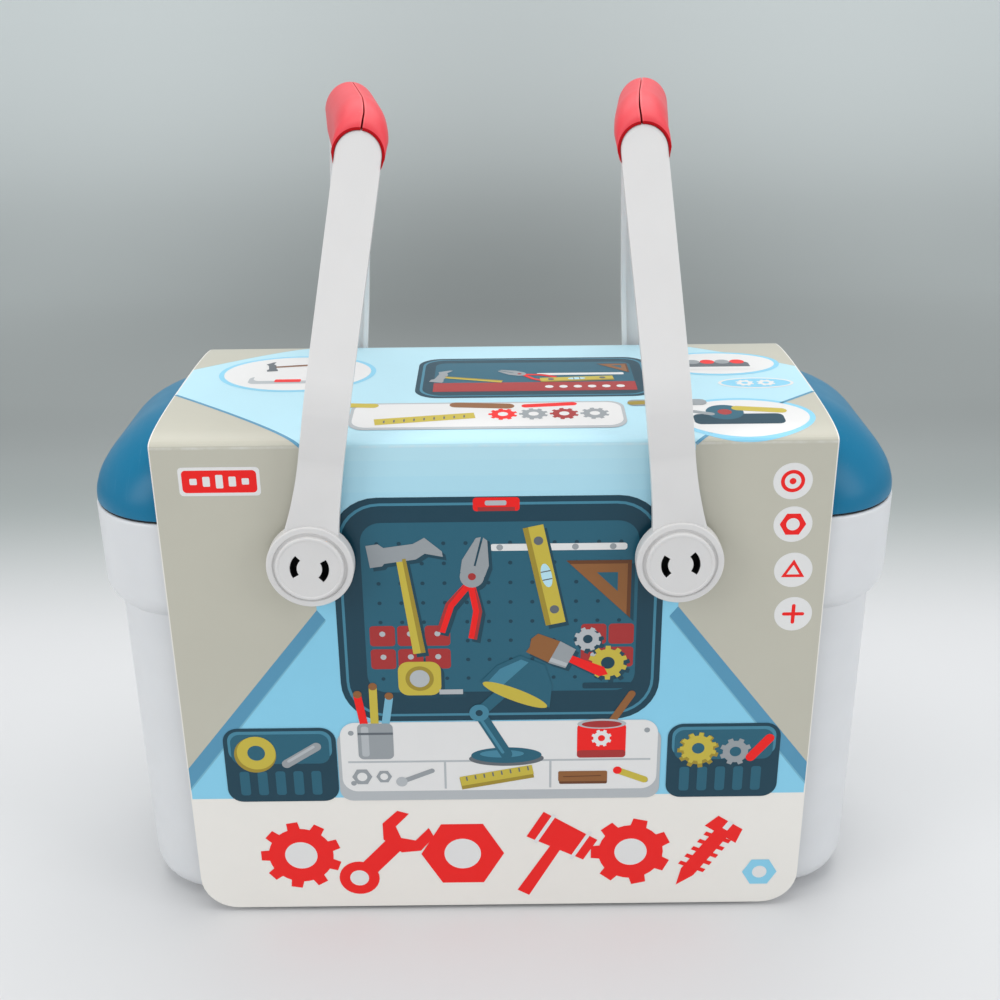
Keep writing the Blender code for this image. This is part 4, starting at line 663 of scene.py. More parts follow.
def card_material(name, colour):
    """One printed colour under satin varnish."""
    material, tree, shader = new_material(name, colour, 0.36)
    finish = add_node(tree, "Group", {"node_tree": varnished_print}).outputs
    deep = tuple(channel * 0.93 for channel in colour)
    tone = blend_colour(tree, finish["Drift"], colour, deep, 1.0)
    # A paler ragged line along the crease: worn fibres and painted highlight of the fold.
    tone = blend_colour(tree, finish["Wear_and_highlight"], tone, worn_and_highlight_white, 0.4)
    for socket, value in (("Base Color", tone), ("Normal", finish["Normal"]), ("Specular IOR Level", 0.3),
                          ("Coat Weight", 0.12), ("Coat Roughness", 0.14)):
        feed(tree, shader.inputs[socket], value)
    return material


def card_edge_material():
    """The cut edge: bare grey-white fibres."""
    material, tree, shader = new_material("card_cut_edge", edge_grey, 0.85)
    fibres = noise(tree, object_place(tree), scale=1500, detail=4)
    feed(tree, shader.inputs["Base Color"], blend_colour(tree, fibres, fibre_light, fibre_dark, 0.6))
    return material


card = make_card()
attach(card, "box")
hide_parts("card_sleeve")

# Print on the card
# Flat inks on the card, one thin film for each colour: pale blue ground with grey-beige corners
# and broad blue stripes, a dark pegboard full of toy tools, a bench row under it, red tool signs
# in the white band, and pale ovals on the top. Places and sizes are in millimetres, across the
# card and up from the floor, or on the top back from its middle. Angles are in degrees.
inks = {}
ink_colours = {
    "sky": (0.275, 0.68, 0.90), "pale": (0.52, 0.82, 0.93), "beige": (0.575, 0.56, 0.47),
    "stripe": (0.10, 0.33, 0.51), "line": (0.20, 0.50, 0.66), "white": (0.84, 0.84, 0.83),
    "deep": (0.006, 0.052, 0.085), "teal": (0.018, 0.125, 0.19), "mist": (0.06, 0.25, 0.36),
    "red": (0.95, 0.008, 0.006), "maroon": (0.42, 0.03, 0.03), "yellow": (0.62, 0.50, 0.06),
    "gold": (0.38, 0.28, 0.03), "steel": (0.34, 0.37, 0.39), "shade": (0.13, 0.15, 0.17),
    "shadow": (0.008, 0.06, 0.095), "wood": (0.30, 0.12, 0.035), "bark": (0.15, 0.05, 0.015),
    "light": (0.50, 0.53, 0.55)}
fold = card_crease - card_foot
over = card_lengths[-1] - 2 * fold
lift_step = 0.03
lift_count = 30
print_margin = 0.6 * mm
white_band = 62.8 * mm
fade_steps = 8
fade_depth = 62 * mm
fade_width = 7 * mm
pale_depth = 6 * mm
side_edge = 141.0
stripe_inside = 0.955
shadow_layer = 10.2
shadow_shift = Vector((1.5 * mm, -1.7 * mm))


def at(x, z):
    """A place on the front of the card."""
    return x * mm, z * mm - card_foot


def on_top(x, y):
    """A place on the top of the card, back from its middle."""
    return x * mm, fold + over / 2 + y * mm * over / (2 * card_half_depth)


def on_back(x, z):
    """A place on the back of the card, seen from behind."""
    return -x * mm, 2 * fold + over - z * mm + card_foot


def ink(colour, layer, points):
    """Add one flat shape in a colour, lifted a little more than the shape before it."""
    count = sum(len(shapes) for shapes in inks.values())
    lift = layer + lift_step * (count % lift_count)
    inks.setdefault(colour, []).append((lift, [Vector(point) for point in points]))


def oval(centre, half, steps=40, start=0.0, sweep=2 * math.pi):
    """Points round an oval, or along a part of one."""
    return [(centre[0] + half[0] * math.cos(start + sweep * step / steps),
             centre[1] + half[1] * math.sin(start + sweep * step / steps)) for step in range(steps)]


def ellipse(colour, layer, centre, half_x, half_y, steps=40):
    ink(colour, layer, oval(centre, (half_x * mm, half_y * mm), steps))


def disc(colour, layer, centre, radius):
    ellipse(colour, layer, centre, radius, radius)


def ring(colour, hole_colour, layer, centre, radius, hole):
    disc(colour, layer, centre, radius)
    disc(hole_colour, layer + 1, centre, hole)


def panel(colour, layer, one, other, corner=0.0):
    """A rectangle between two opposite corners, with round corners of its own."""
    (left, right), (low, high) = sorted((one[0], other[0])), sorted((one[1], other[1]))
    if corner <= 0:
        ink(colour, layer, [(left, low), (right, low), (right, high), (left, high)])
        return
    middle = Vector((left + right, low + high)) / 2
    outline = round_rectangle((right - left) / 2, (high - low) / 2, corner * mm, 8)
    ink(colour, layer, [middle + Vector(point) for point in outline])


def plate(colour, layer, centre, half_x, half_y, corner):
    """A panel about its middle."""
    reach = Vector((half_x, half_y)) * mm
    panel(colour, layer, Vector(centre) - reach, Vector(centre) + reach, corner)


def bar(colour, layer, start, end, width, round_ends=True):
    """A straight bar of ink between two places."""
    start, end = Vector(start), Vector(end)
    half = width * mm / 2
    along = (end - start).normalized()
    across = Vector((-along.y, along.x)) * half
    if not round_ends:
        ink(colour, layer, [start + across, start - across, end - across, end + across])
        return
    heading = math.atan2(along.y, along.x)
    half_turn = math.pi * 12 / 11
    ink(colour, layer, oval(end, (half, half), 12, heading - math.pi / 2, half_turn)
        + oval(start, (half, half), 12, heading + math.pi / 2, half_turn))


def cog(colour, hole_colour, layer, centre, radius, teeth=9, hole=0.35):
    """A toothed wheel with a round hole."""
    points = []
    for tooth in range(teeth):
        for share, reach in ((0.0, 0.80), (0.22, 0.80), (0.30, 1.0), (0.70, 1.0), (0.78, 0.80)):
            turn = 2 * math.pi * (tooth + share) / teeth
            points.append((centre[0] + radius * mm * reach * math.cos(turn),
                           centre[1] + radius * mm * reach * math.sin(turn)))
    ink(colour, layer, points)
    disc(hole_colour, layer + 1, centre, radius * hole)


def nut_sign(colour, hole_colour, layer, centre, radius, hole=0.5):
    ellipse(colour, layer, centre, radius, radius, 6)
    disc(hole_colour, layer + 1, centre, radius * hole)


def stamp(place, turn, size, *shapes):
    """Draw shapes, each a colour, a layer and points about a middle, turned and scaled."""
    spin = Matrix.Rotation(math.radians(turn), 2)
    for colour, layer, points in shapes:
        ink(colour, layer, [Vector(place) + spin @ Vector(point) * size * mm for point in points])


def block(x0, y0, x1, y1):
    return [(x0, y0), (x1, y0), (x1, y1), (x0, y1)]


def taper(low_half, low, high_half, high):
    return [(-low_half, low), (low_half, low), (high_half, high), (-high_half, high)]


def hammer(layer, place, turn, size, head, handle, shade):
    head_points = [(-13, 12), (-13, 22), (-8, 22), (-6, 20), (6, 20), (11, 22), (17, 15), (17, 12.5),
                   (10, 15), (6, 13), (-7, 13), (-8, 12)]
    stamp(place, turn, size, (handle, layer, taper(2.6, -30, 2.0, 14)),
          (shade, layer + 1, [(0.6, -30), (2.6, -30), (2.0, 14), (0.5, 14)]), (head, layer, head_points))


def pliers(layer, place, turn, size, jaw, handle, shade):
    for side in (-1, 1):
        grip = [(1.5, -2), (8.5, -16), (9.5, -31), (5.5, -31), (4.5, -17), (-1.8, -3)]
        grip_shade = [(1.5, -3), (8.5, -16), (9.5, -31), (8.1, -31), (7.2, -16.4)]
        beak = [(0.4, 2), (5.6, 1), (6.2, 7), (2.6, 19), (0.5, 20)]
        for colour, rise, points in ((handle, 0, grip), (shade, 1, grip_shade), (jaw, 1, beak)):
            stamp(place, turn, size, (colour, layer + rise, [(side * x, y) for x, y in points]))
    stamp(place, turn, size, (jaw, layer + 2, oval((0, 0), (5.5, 5.5), 24)),
          (shade, layer + 3, oval((0, 0), (1.8, 1.8), 16)))


def set_square(layer, place, turn, size):
    stamp(place, turn, size, ("wood", layer, [(-16, -16), (18, -16), (-16, 18)]),
          ("bark", layer + 1, [(-16, -16), (18, -16), (16, -14), (-14, -14), (-14, 16), (-16, 18)]),
          ("teal", layer + 2, [(-9, -9), (2, -9), (-9, 2)]))


def level(layer, place, turn, size):
    stamp(place, turn, size, ("yellow", layer, block(-27, -5, 27, 5)),
          ("gold", layer + 1, block(-27, -5, 27, -2.4)), ("pale", layer + 2, oval((0, 1), (6.5, 2.6), 24)),
          *(("shade", layer + 3, block(x - 0.3, -1.4, x + 0.3, 3.4)) for x in (-2.2, 2.2)),
          *(("shade", layer + 2, oval((x, 1), (2.3, 2.3), 18)) for x in (-19, 19)))


def brush(layer, place, turn, size):
    stamp(place, turn, size, ("red", layer, [(-2.2, -4), (2.2, -4), (3.2, -24), (0, -28), (-3.2, -24)]),
          ("steel", layer + 1, taper(6.5, -5, 7.5, 5)),
          ("light", layer + 2, [(-5.5, -5), (-3.2, -5), (-3.8, 5), (-6.4, 5)]),
          ("wood", layer, [(-7.3, 5), (7.3, 5), (6.5, 18), (2, 20), (-3, 18.5), (-6.6, 19)]))


def tape(layer, centre, size):
    """A tape measure with the end of its tape out."""
    plate("yellow", layer, centre, 10 * size, 9 * size, 5 * size)
    ring("gold", "light", layer + 1, centre, 6.6 * size, 4.6 * size)
    stamp(centre, 0, size, ("light", layer, block(9, -8.6, 20, -6)))


def ground():
    """Sky on front, top and back, paler towards the top, with beige corners and blue stripes."""
    half = card_width / 2 - print_margin
    panel("sky", 1, (-half, white_band), (half, fold + over + fold - white_band))
    for step in range(fade_steps):
        low = fold - fade_depth + fade_width * step
        share = (step + 1) / (fade_steps + 1)
        ink_colours["fade_%d" % step] = Vector(ink_colours["sky"]).lerp(ink_colours["pale"], share)
        panel("fade_%d" % step, 1.2, (-half, low), (half, low + fade_width))
    panel("pale", 1.2, (-half, fold - pale_depth), (half, fold + over))
    sides = ((-1, -78.7, -77.3, -16.1), (1, 82.9, 78.8, -20.3))
    for flap in (1, -1):
        for side, top, hub, rim in sides:
            edge, inside = side * side_edge, hub * stripe_inside
            shapes = (("beige", 2, [at(edge, 81.8), at(hub, 162.5), at(top, 237.4), at(edge, 237.4)]),
                      ("beige", 2, [(edge * mm, fold), (top * mm, fold), on_top(edge, rim)]),
                      ("stripe", 3, [at(edge, 81.8), at(hub, 162.5), at(inside, 157.9), at(edge, 71.0)]),
                      ("line", 3.4, [at(edge, 71.0), at(inside, 157.9), at(inside, 157.0), at(edge, 69.8)]))
            for colour, layer, points in shapes:
                ink(colour, layer, points if flap > 0 else [(-x, 2 * fold + over - y) for x, y in points])
    for side, top, hub, rim in sides:
        bar("stripe", 4, on_top(side * side_edge, rim), (top * mm, fold), 1.4, False)


def front_scene():
    """Dark board with toy tools."""
    panel("deep", 5, at(-69, 106), at(72, 215), 20)
    panel("mist", 6, at(-66.4, 108.6), at(69.4, 212.4), 18)
    panel("deep", 7, at(-65.2, 109.8), at(68.2, 211.2), 17)
    panel("teal", 8, at(-57, 121), at(61, 203.5), 9)
    panel("red", 8, at(-9, 208.4), at(10.5, 214.6), 1.5)
    panel("maroon", 9, at(-7, 208.4), at(8.5, 210.2))
    panel("light", 9, at(-4, 211), at(5, 213.2), 0.8)
    for row in range(8):
        for column in range(12):
            disc("deep", 9, at(-50 + 9.4 * column, 128 + 9.4 * row), 0.9)
    for start, count in ((-55, 3), (37, 2)):
        for row in range(2):
            for column in range(count):
                x, z = start + 12 * column, 133 + 11.5 * row
                panel("maroon", 9.4, at(x, z), at(x + 11, z + 10), 1.6)
                disc("light", 9.5, at(x + 5.5, z + 6), 1.3)
    panel("white", 10, at(-2, 190), at(56, 193.2), 1.2)
    for x in (2, 18, 34, 50):
        disc("steel", 11, at(x, 191.6), 1.4)
    with_shadow(hammer, 12, at(-38, 172), 8, 1.05, "steel", "yellow", "gold")
    with_shadow(pliers, 12, at(-10, 178), -14, 0.95, "steel", "red", "maroon")
    with_shadow(level, 12, at(21, 178), -78, 0.88)
    with_shadow(set_square, 12, at(45, 172), 180, 0.82)
    with_shadow(brush, 14, at(29, 139), 64, 0.80)
    with_shadow(tape, 12, at(-34, 128), 0.95)
    panel("deep", 11, at(38, 122), at(60, 125), 1)
    with_shadow(cog, "yellow", "deep", 12, at(49, 135), 8.6, 10)
    with_shadow(cog, "light", "deep", 12, at(40, 147), 6.0, 8)


def bench_row():
    """A white bench with a lamp, pencils, a paint pot and small things, and two boxes beside it."""
    panel("light", 12, at(-72.5, 63.4), at(74, 101), 6)
    panel("white", 13, at(-71, 68.5), at(72.5, 105.5), 7)
    panel("light", 14, at(-68, 84.0), at(69.5, 85.0))
    for x in (-24, 24):
        panel("light", 14, at(x - 0.5, 69.5), at(x + 0.5, 84))
    for x in (-66, 67.5):
        for z in (73, 100):
            disc("steel", 14, at(x, z), 1.3)
    desk_lamp()
    pencils_and_pot()
    small_things()
    for x0, x1 in ((-124, -73), (77, 128)):
        panel("deep", 12, at(x0, 63.4), at(x1, 103), 7)
        panel("mist", 13, at(x0 + 2, 86), at(x1 - 2, 101.4), 5)
        panel("teal", 14, at(x0 + 3.2, 84), at(x1 - 3.2, 99.8), 4.5)
        for step in range(5):
            panel("teal", 14, at(x0 + 6 + 8.2 * step, 67), at(x0 + 10.5 + 8.2 * step, 80), 1.4)
    ring("gold", "teal", 17, at(-110, 89), 9.5, 4.0)
    ring("yellow", "teal", 19, at(-109.4, 90), 8.8, 4.0)
    bar("steel", 17, at(-96, 84), at(-82, 93), 4.4)
    bar("light", 18, at(-95, 85.4), at(-83.4, 93), 1.4)
    cog("gold", "teal", 17, at(91, 89), 9.5, 11, 0.3)
    cog("yellow", "teal", 19, at(91, 90), 8.4, 11, 0.34)
    cog("steel", "teal", 17, at(108, 88), 7.2, 8, 0.36)
    bar("red", 18, at(115, 85), at(123, 95), 4.4)


def desk_lamp():
    ellipse("shade", 15, at(4, 85.6), 17, 4.0)
    ellipse("teal", 16, at(4, 87.4), 16, 4.2)
    ellipse("mist", 17, at(2, 88.2), 10, 2.0)
    bar("teal", 18, at(4, 88), at(-8, 110), 5.4)
    bar("mist", 19, at(2.4, 89), at(-8.6, 109), 1.4)
    bar("teal", 18, at(-8, 110), at(6, 124), 5.4)
    disc("mist", 20, at(-8, 110), 4.4)
    disc("deep", 21, at(-8, 110), 1.6)
    stamp(at(12, 128), -24, 1.2, ("teal", 20, [(-14, -8), (14, -8), (11, 1), (5, 8), (-5, 8), (-11, 1)]),
          ("mist", 21, [(-9.5, 0), (-4, 6.6), (-1, 6.6), (-6, -6.5), (-11.4, -6.5)]),
          ("yellow", 21, oval((0, -8), (13, 2.6))))


def pencils_and_pot():
    """A cup of three pencils, and a paint pot with a brush in it."""
    for x, z, colour in ((-62, 119, "red"), (-55, 123, "yellow"), (-48, 118, "line")):
        bar(colour, 15, at(-55 + (x + 55) * 0.5, 96), at(x, z), 3.6)
        disc("wood", 16, at(x, z + 1.2), 1.9)
    panel("steel", 17, at(-63, 86), at(-47, 105), 2.5)
    panel("light", 18, at(-61.4, 87.5), at(-58, 103.5), 1.2)
    panel("shade", 18, at(-63, 99), at(-47, 100.2))
    bar("wood", 15, at(48, 99), at(60, 119), 3.4)
    panel("red", 17, at(36, 85.6), at(58, 104), 2.6)
    panel("maroon", 18, at(36, 85.6), at(58, 89.6), 1.6)
    ellipse("light", 18, at(47, 103.6), 11, 2.6)
    ellipse("maroon", 19, at(47, 103.4), 9, 1.8)
    cog("white", "red", 19, at(47, 96), 4.6, 8)


def small_things():
    """Two nuts, a peg, a ruler, a block and a match along the front of the bench."""
    for x, size in ((-62, 4.6), (-52, 3.6)):
        nut_sign("steel", "white", 17, at(x, 76.5), size)
    bar("steel", 17, at(-44, 73.6), at(-30, 79.4), 2.4)
    disc("light", 18, at(-44, 73.6), 2.6)
    bar("gold", 17, at(-17, 72.2), at(16, 78.4), 6.6, False)
    bar("yellow", 18, at(-17, 73.4), at(16, 79.6), 5.0, False)
    for step in range(8):
        x = -14 + 4 * step
        rise = (x + 17) * 0.19
        bar("shade", 19, at(x, 73.2 + rise), at(x - 0.4, 75.4 + rise), 0.7, False)
    for step, colour in ((0, "bark"), (1, "wood")):
        panel(colour, 17 + step, at(28 - 0.4 * step, 71.4 + 1.4 * step), at(50, 77 + 1.4 * step), 0.8)
    bar("bark", 19, at(30, 75.4), at(47, 75.8), 0.5)
    bar("yellow", 17, at(55, 78.4), at(67, 73.4), 3.4)
    disc("red", 18, at(54.6, 78.6), 2.0)


def red_row():
    """Bold red tool pictures along the white band: cog, wrench, nut, mallet, cog and screw."""
    cog("red", "white", 4, at(-93, 32.5), 19, 9, 0.40)
    wrench = [(-5, 7), (5, 7), (10.5, 13), (10, 22), (5.4, 24), (5.4, 15.5), (0, 12.5), (-5.4, 15.5),
              (-5.4, 24), (-10, 22), (-10.5, 13)]
    stamp(at(-55, 31.5), -42, 1.12, ("red", 4, taper(4, -12, 4, 10)),
          ("red", 5, oval((0, -15), (8.5, 8.5), 28)), ("white", 6, oval((0, -15), (4, 4), 20)),
          ("red", 5, wrench))
    nut_sign("red", "white", 4, at(-17, 32.5), 19.5, 0.44)
    stamp(at(24, 31), -30, 1.0, ("red", 4, taper(3.2, -25, 2.6, 6)),
          ("red", 5, [(-15, 4), (15, 5.5), (15, 18.5), (-15, 20)]),
          ("white", 6, block(-10.6, 3, -8.8, 21)), ("white", 6, block(8.8, 3, 10.6, 21)))
    cog("red", "white", 4, at(62, 32.5), 19, 7, 0.40)
    threads = (7.5 - 5 * step for step in range(5))
    stamp(at(97, 32), -34, 1.0, ("red", 4, taper(9, 12, 7, 20)), ("white", 6, taper(1.4, 15.5, 1.4, 20.5)),
          ("red", 4, [(-3.6, -14), (0, -23), (3.6, -14), (3.6, 13), (-3.6, 13)]),
          *(("red", 5, [(-6.4, z), (6.4, z + 2.4), (6.4, z + 4.6), (-6.4, z + 2.2)]) for z in threads))
    nut_sign("sky", "white", 4, at(123.5, 20), 8.2, 0.42)


def sign_column():
    """Four small white discs with red marks, and a red tag on the other side."""
    places = [at(123.8, 220.4), at(125.3, 200.8), at(127.1, 179.4), at(128.7, 158.2)]
    for place in places:
        disc("white", 4, place, 8.2)
    ring("red", "white", 5, places[0], 5.0, 3.4)
    disc("red", 7, places[0], 1.4)
    nut_sign("red", "white", 5, places[1], 5.6, 0.5)
    stamp(places[2], 0, 1, ("red", 5, [(0, 5), (-5, -3.4), (5, -3.4)]),
          ("white", 6, [(0, 2.4), (-2.8, -2.1), (2.8, -2.1)]))
    for reach in (Vector((4 * mm, 0)), Vector((0, 4 * mm))):
        bar("red", 5, Vector(places[3]) - reach, Vector(places[3]) + reach, 1.6)
    for colour, layer, grow in (("white", 4, 1.4), ("red", 5, 0.0)):
        plate(colour, layer, at(-113.6, 223), 15.5 + grow, 5.0 + grow, 1.8)
    for step, half in enumerate((1.4, 2.2, 3.0, 2.2, 1.4)):
        plate("white", 6, at(-113.6 + (step - 2) * 5.4, 223), 1.5, half, 0.5)


def top_scene(at):
    """On the top: pale ovals with a toy in each, and a second, flatter view of board and bench."""
    for x, y, half_x, half_y in ((-91, 14, 34, 26), (105, 22, 27, 17), (105, -48, 28, 18)):
        ellipse("sky", 4, at(x, y), half_x + 2.4, half_y + 2.4, 64)
        ellipse("white", 5, at(x, y), half_x, half_y, 64)
    ellipse("white", 4, at(118, -8), 17, 7.5, 48)
    ellipse("sky", 5, at(118, -8), 15.6, 6.2, 48)
    for x in (113, 122.5):
        cog("white", "sky", 6, at(x, -8), 4.2, 8)
    panel("deep", 5, at(-35, -24), at(72, 34), 11)
    panel("mist", 6, at(-33, -22), at(70, 32), 10)
    panel("deep", 7, at(-31.8, -21), at(68.8, 31), 9.5)
    panel("teal", 8, at(-27, -16), at(64, 26), 5)
    panel("maroon", 9, at(-27, -16), at(64, -4))
    panel("white", 10, at(20, 6), at(60, 9), 1)
    hammer(12, at(-14, 2), 75, 0.62, "steel", "yellow", "gold")
    pliers(12, at(12, 8), 60, 0.55, "steel", "red", "maroon")
    level(12, at(38, 0), 4, 0.62)
    set_square(12, at(56, 16), 180, 0.42)
    for step in range(6):
        disc("white", 11, at(25 + 6.4 * step, -10.5), 1.9)
    panel("light", 10, at(-61, -58), at(56, -30), 7)
    panel("white", 11, at(-59.6, -56), at(54.6, -31.4), 6.5)
    panel("deep", 12, at(-80, -36), at(-64, -28), 3)
    panel("steel", 12, at(58, -36), at(92, -29), 3)
    bar("yellow", 13, at(-74, -31), at(-52, -33), 5)
    bar("gold", 13, at(60, -33), at(80, -31), 4.4)
    bar("yellow", 13, at(-50, -51), at(-8, -45), 6, False)
    for step in range(9):
        x, y = -46 + 4.2 * step, -52 + 0.6 * step
        bar("shade", 14, at(x, y), at(x, y + 2.4), 0.7, False)
    for step, colour in enumerate(("red", "steel", "maroon", "steel")):
        cog(colour, "white", 13, at(4 + 13 * step, -44), 6.2, 9)
    bar("wood", 12, at(-16, -33), at(6, -35), 6)
    bar("red", 12, at(14, -35), at(34, -33), 4)
    panel("light", 7, at(-112, -2), at(-76, 8), 3)
    panel("white", 8, at(-110, 2), at(-78, 12), 3)
    panel("red", 9, at(-100, 0), at(-88, 4), 0.8)
    hammer(9, at(-96, 24), 100, 0.5, "shade", "wood", "bark")
    panel("shade", 7, at(90, 14), at(120, 24), 3)
    for step in range(4):
        disc("red" if step % 2 else "steel", 8, at(94 + 7 * step, 24), 3.4)
    panel("white", 9, at(90, 12), at(121, 16), 1)
    panel("deep", 7, at(84, -56), at(122, -46), 3)
    disc("teal", 8, at(98, -44), 8)
    disc("maroon", 9, at(98, -44), 3)
    bar("yellow", 8, at(104, -40), at(122, -43), 5)
    bar("steel", 8, at(82, -42), at(92, -46), 3)


def back_scene(at):
    """The back flap: the same kind of board, plainer, with large signs and empty note boxes."""
    for x in (-124, 6):
        panel("white", 5, at(x, 78), at(x + 118, 150), 5)
    panel("deep", 5, at(-64, 160), at(64, 215), 12)
    panel("teal", 6, at(-59, 165), at(59, 210), 8)
    hammer(8, at(-30, 186), 200, 0.8, "steel", "yellow", "gold")
    pliers(8, at(0, 191), 170, 0.7, "steel", "red", "maroon")
    level(8, at(34, 188), 12, 0.7)
    for x, z, colour in ((-95, 116, "yellow"), (-65, 112, "steel"), (-35, 116, "red")):
        cog(colour, "white", 7, at(x, z), 13, 9)
    for step in range(3):
        bar("sky", 7, at(24, 134 - 16 * step), at(106 - 14 * step, 134 - 16 * step), 7)
    cog("red", "white", 4, at(-80, 32.5), 17, 9, 0.42)
    nut_sign("red", "white", 4, at(-28, 32.5), 17, 0.46)
    ring("red", "white", 4, at(28, 32.5), 16, 7.8)
    cog("red", "white", 4, at(80, 32.5), 17, 9, 0.42)


def with_shadow(draw, *values):
    """Draw a toy and the same shapes again under it, shifted, as its printed shadow."""
    before = {colour: len(shapes) for colour, shapes in inks.items()}
    draw(*values)
    added = [shape for colour, shapes in list(inks.items()) for shape in shapes[before.get(colour, 0):]]
    for layer, points in added:
        ink("shadow", shadow_layer, [point + shadow_shift for point in points])


def card_place(x, along, lift):
    """The point on the folded card for a place on the flat sheet."""
    along = min(max(along, card_lengths[0]), card_lengths[-1])
    step = 0
    while step < len(card_lengths) - 2 and card_lengths[step + 1] < along:
        step += 1
    near, far = card_points[step], card_points[step + 1]
    share = (along - card_lengths[step]) / (card_lengths[step + 1] - card_lengths[step])
    point = near.lerp(far, share)
    way = (far - near).normalized()
    return Vector((x, point.x - way.y * lift, point.y + way.x * lift))


def slice_at(bm, place, normal):
    """Split every face of a mesh where a plane crosses it."""
    everything = list(bm.verts) + list(bm.edges) + list(bm.faces)
    bmesh.ops.bisect_plane(bm, geom=everything, plane_co=place, plane_no=normal)


def print_inks():
    """Turn the shapes of each colour into one film that follows the card's folds."""
    corner_points = card_corner_steps + 1
    for colour, shapes in inks.items():
        bm = bmesh.new()
        for layer, points in shapes:
            corners = [bm.verts.new((point.x, point.y, layer * ink_step)) for point in points]
            flat = [Vector((point.x, point.y, 0)) for point in points]
            for triangle in geometry.tessellate_polygon([flat]):
                bm.faces.new([corners[index] for index in triangle])
        for along in card_lengths[corner_points:-corner_points]:
            slice_at(bm, (0, along, 0), (0, 1, 0))
        for vert in bm.verts:
            vert.co = card_place(vert.co.x, vert.co.y, vert.co.z + ink_step)
        mesh = bpy.data.meshes.new("ink_" + colour)
        bm.to_mesh(mesh)
        bm.free()
        film = add_object("ink_" + colour, mesh)
        film.data.materials.append(card_material("print_" + colour, ink_colours[colour]))
        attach(film, "box")


ground()
front_scene()
bench_row()
red_row()
sign_column()
top_scene(on_top)
back_scene(on_back)
print_inks()

# Handle arms and hubs
# Each handle has a front and a rear arm of white plastic, flat outside and channelled inside.
# An arm starts from a proud round hub with a cap, a groove and two curved slots, widens a little
# where it leaves the hub, and leans towards the middle of the box above a soft bend. The handles
# are slightly twisted: a rear arm stands more upright than the front arm of the same handle.
lean_left = math.radians(9)
lean_right = math.radians(6)
twist_left = math.radians(4.3)
twist_right = math.radians(3)
arm_width = 18.4 * mm
arm_thickness = 5.0 * mm
arm_back = 71.5 * mm
arm_rise = 174.7 * mm
arm_bend_height = 75 * mm
arm_bend_length = 9 * mm
arm_bend_slices = 5
arm_lean_share = 0.32
arm_edge_round = 1.3 * mm
arm_foot = 12.8 * mm
flare_outer = 6.2 * mm
flare_inner = 2.4 * mm
flare_length = 48 * mm
channel_wall = 2.2 * mm
channel_depth = 2.6 * mm
channel_foot = 26 * mm
channel_head = 140 * mm
channel_overcut = 5 * mm
hub_radius = 18.4 * mm
hub_proud = 1.2 * mm
hub_edge = 0.7 * mm
cap_radius = 14.35 * mm
cap_proud = 1.6 * mm
cap_edge = 0.5 * mm
cap_border = 1.1 * mm
cap_dish_slope = 0.3 * mm
cap_dish_depth = 0.25 * mm
groove_width = 1.3 * mm
groove_depth = 0.7 * mm
groove_chamfer = 0.3 * mm
slot_inner = 5.3 * mm
slot_outer = 8.2 * mm
slot_half_angle = math.radians(39)
slot_depth = 7.5 * mm
slot_chamfer = 0.5 * mm
slot_overcut = 1 * mm
arm_white = (0.75, 0.74, 0.73)
slot_shadow_black = (0.006, 0.006, 0.007)
arm_plastic = moulded_material("arm_plastic", arm_white, 0.36, edge_wear_and_highlight=0.35, scatter=0.1)
slot_shadow = moulded_material("slot_shadow", slot_shadow_black, 0.8, edge_wear_and_highlight=0, dust=0)


def leaning(height):
    """How far an arm has moved towards the middle at a height, with a soft bend."""
    past_bend = height - arm_bend_height
    if past_bend <= -arm_bend_length:
        return 0.0
    if past_bend >= arm_bend_length:
        return arm_lean_share * past_bend
    return arm_lean_share * (past_bend + arm_bend_length) ** 2 / (4 * arm_bend_length)


def arm_half(height, flare):
    """Half an arm's width at a height, for an edge that flares out by so much at its foot."""
    if height >= flare_length:
        return arm_width / 2
    return arm_width / 2 + flare * (1 - height / flare_length) ** 2


def arm_outline(inset, foot, head, mirror):
    """Outline of an arm seen from the front, from its foot up to its round head."""
    steps = 14
    heights = [foot + (flare_length - foot) * step / steps for step in range(steps + 1)]
    outer = [(mirror * (arm_half(height, flare_outer) - inset), height) for height in heights]
    inner = [(-mirror * (arm_half(height, flare_inner) - inset), height) for height in reversed(heights)]
    radius = arm_width / 2 - inset
    top = [(mirror * radius * math.cos(turn), head - radius + radius * math.sin(turn))
           for turn in turns(24, 0.0, math.pi)]
    return outer + top + inner


def standing_plate(outline, back, front, edge_round=0):
    """A plate between two depths, its front edge rounded, bent towards the middle as arms are."""
    bm = bmesh.new()
    low, high = skin(bm, [[(x, -depth, z) for x, z in outline] for depth in (back, front)])
    bm.faces.new(list(reversed(low)))
    face = bm.faces.new(high)
    if edge_round:
        bmesh.ops.bevel(bm, geom=list(face.edges), offset=edge_round, segments=4, profile=0.5,
                        affect="EDGES")
    for step in range(-arm_bend_slices, arm_bend_slices + 1):
        slice_at(bm, (0, 0, arm_bend_height + arm_bend_length * step / arm_bend_slices), (0, 0, 1))
    for vert in bm.verts:
        vert.co.y += leaning(vert.co.z)
    return bm


def slot_shape(side, grow):
    """One curved slot of the cap as a closed outline."""
    middle = 0 if side > 0 else math.pi
    reach = slot_half_angle + grow / slot_outer
    outline = []
    for radius, way in ((slot_outer + grow, 1), (slot_inner - grow, -1)):
        for turn in turns(12, middle - way * reach, middle + way * reach):
            outline.append((radius * math.cos(turn), radius * math.sin(turn)))
    return outline


def handle_place(side):
    """Where a handle stands at rest: turned about the line through its two hubs."""
    lean = lean_left if side < 0 else lean_right
    middle = Matrix.Translation((side * pivot_spacing / 2, 0, pivot_height))
    return middle @ Matrix.Rotation(-side * lean, 4, "Y")


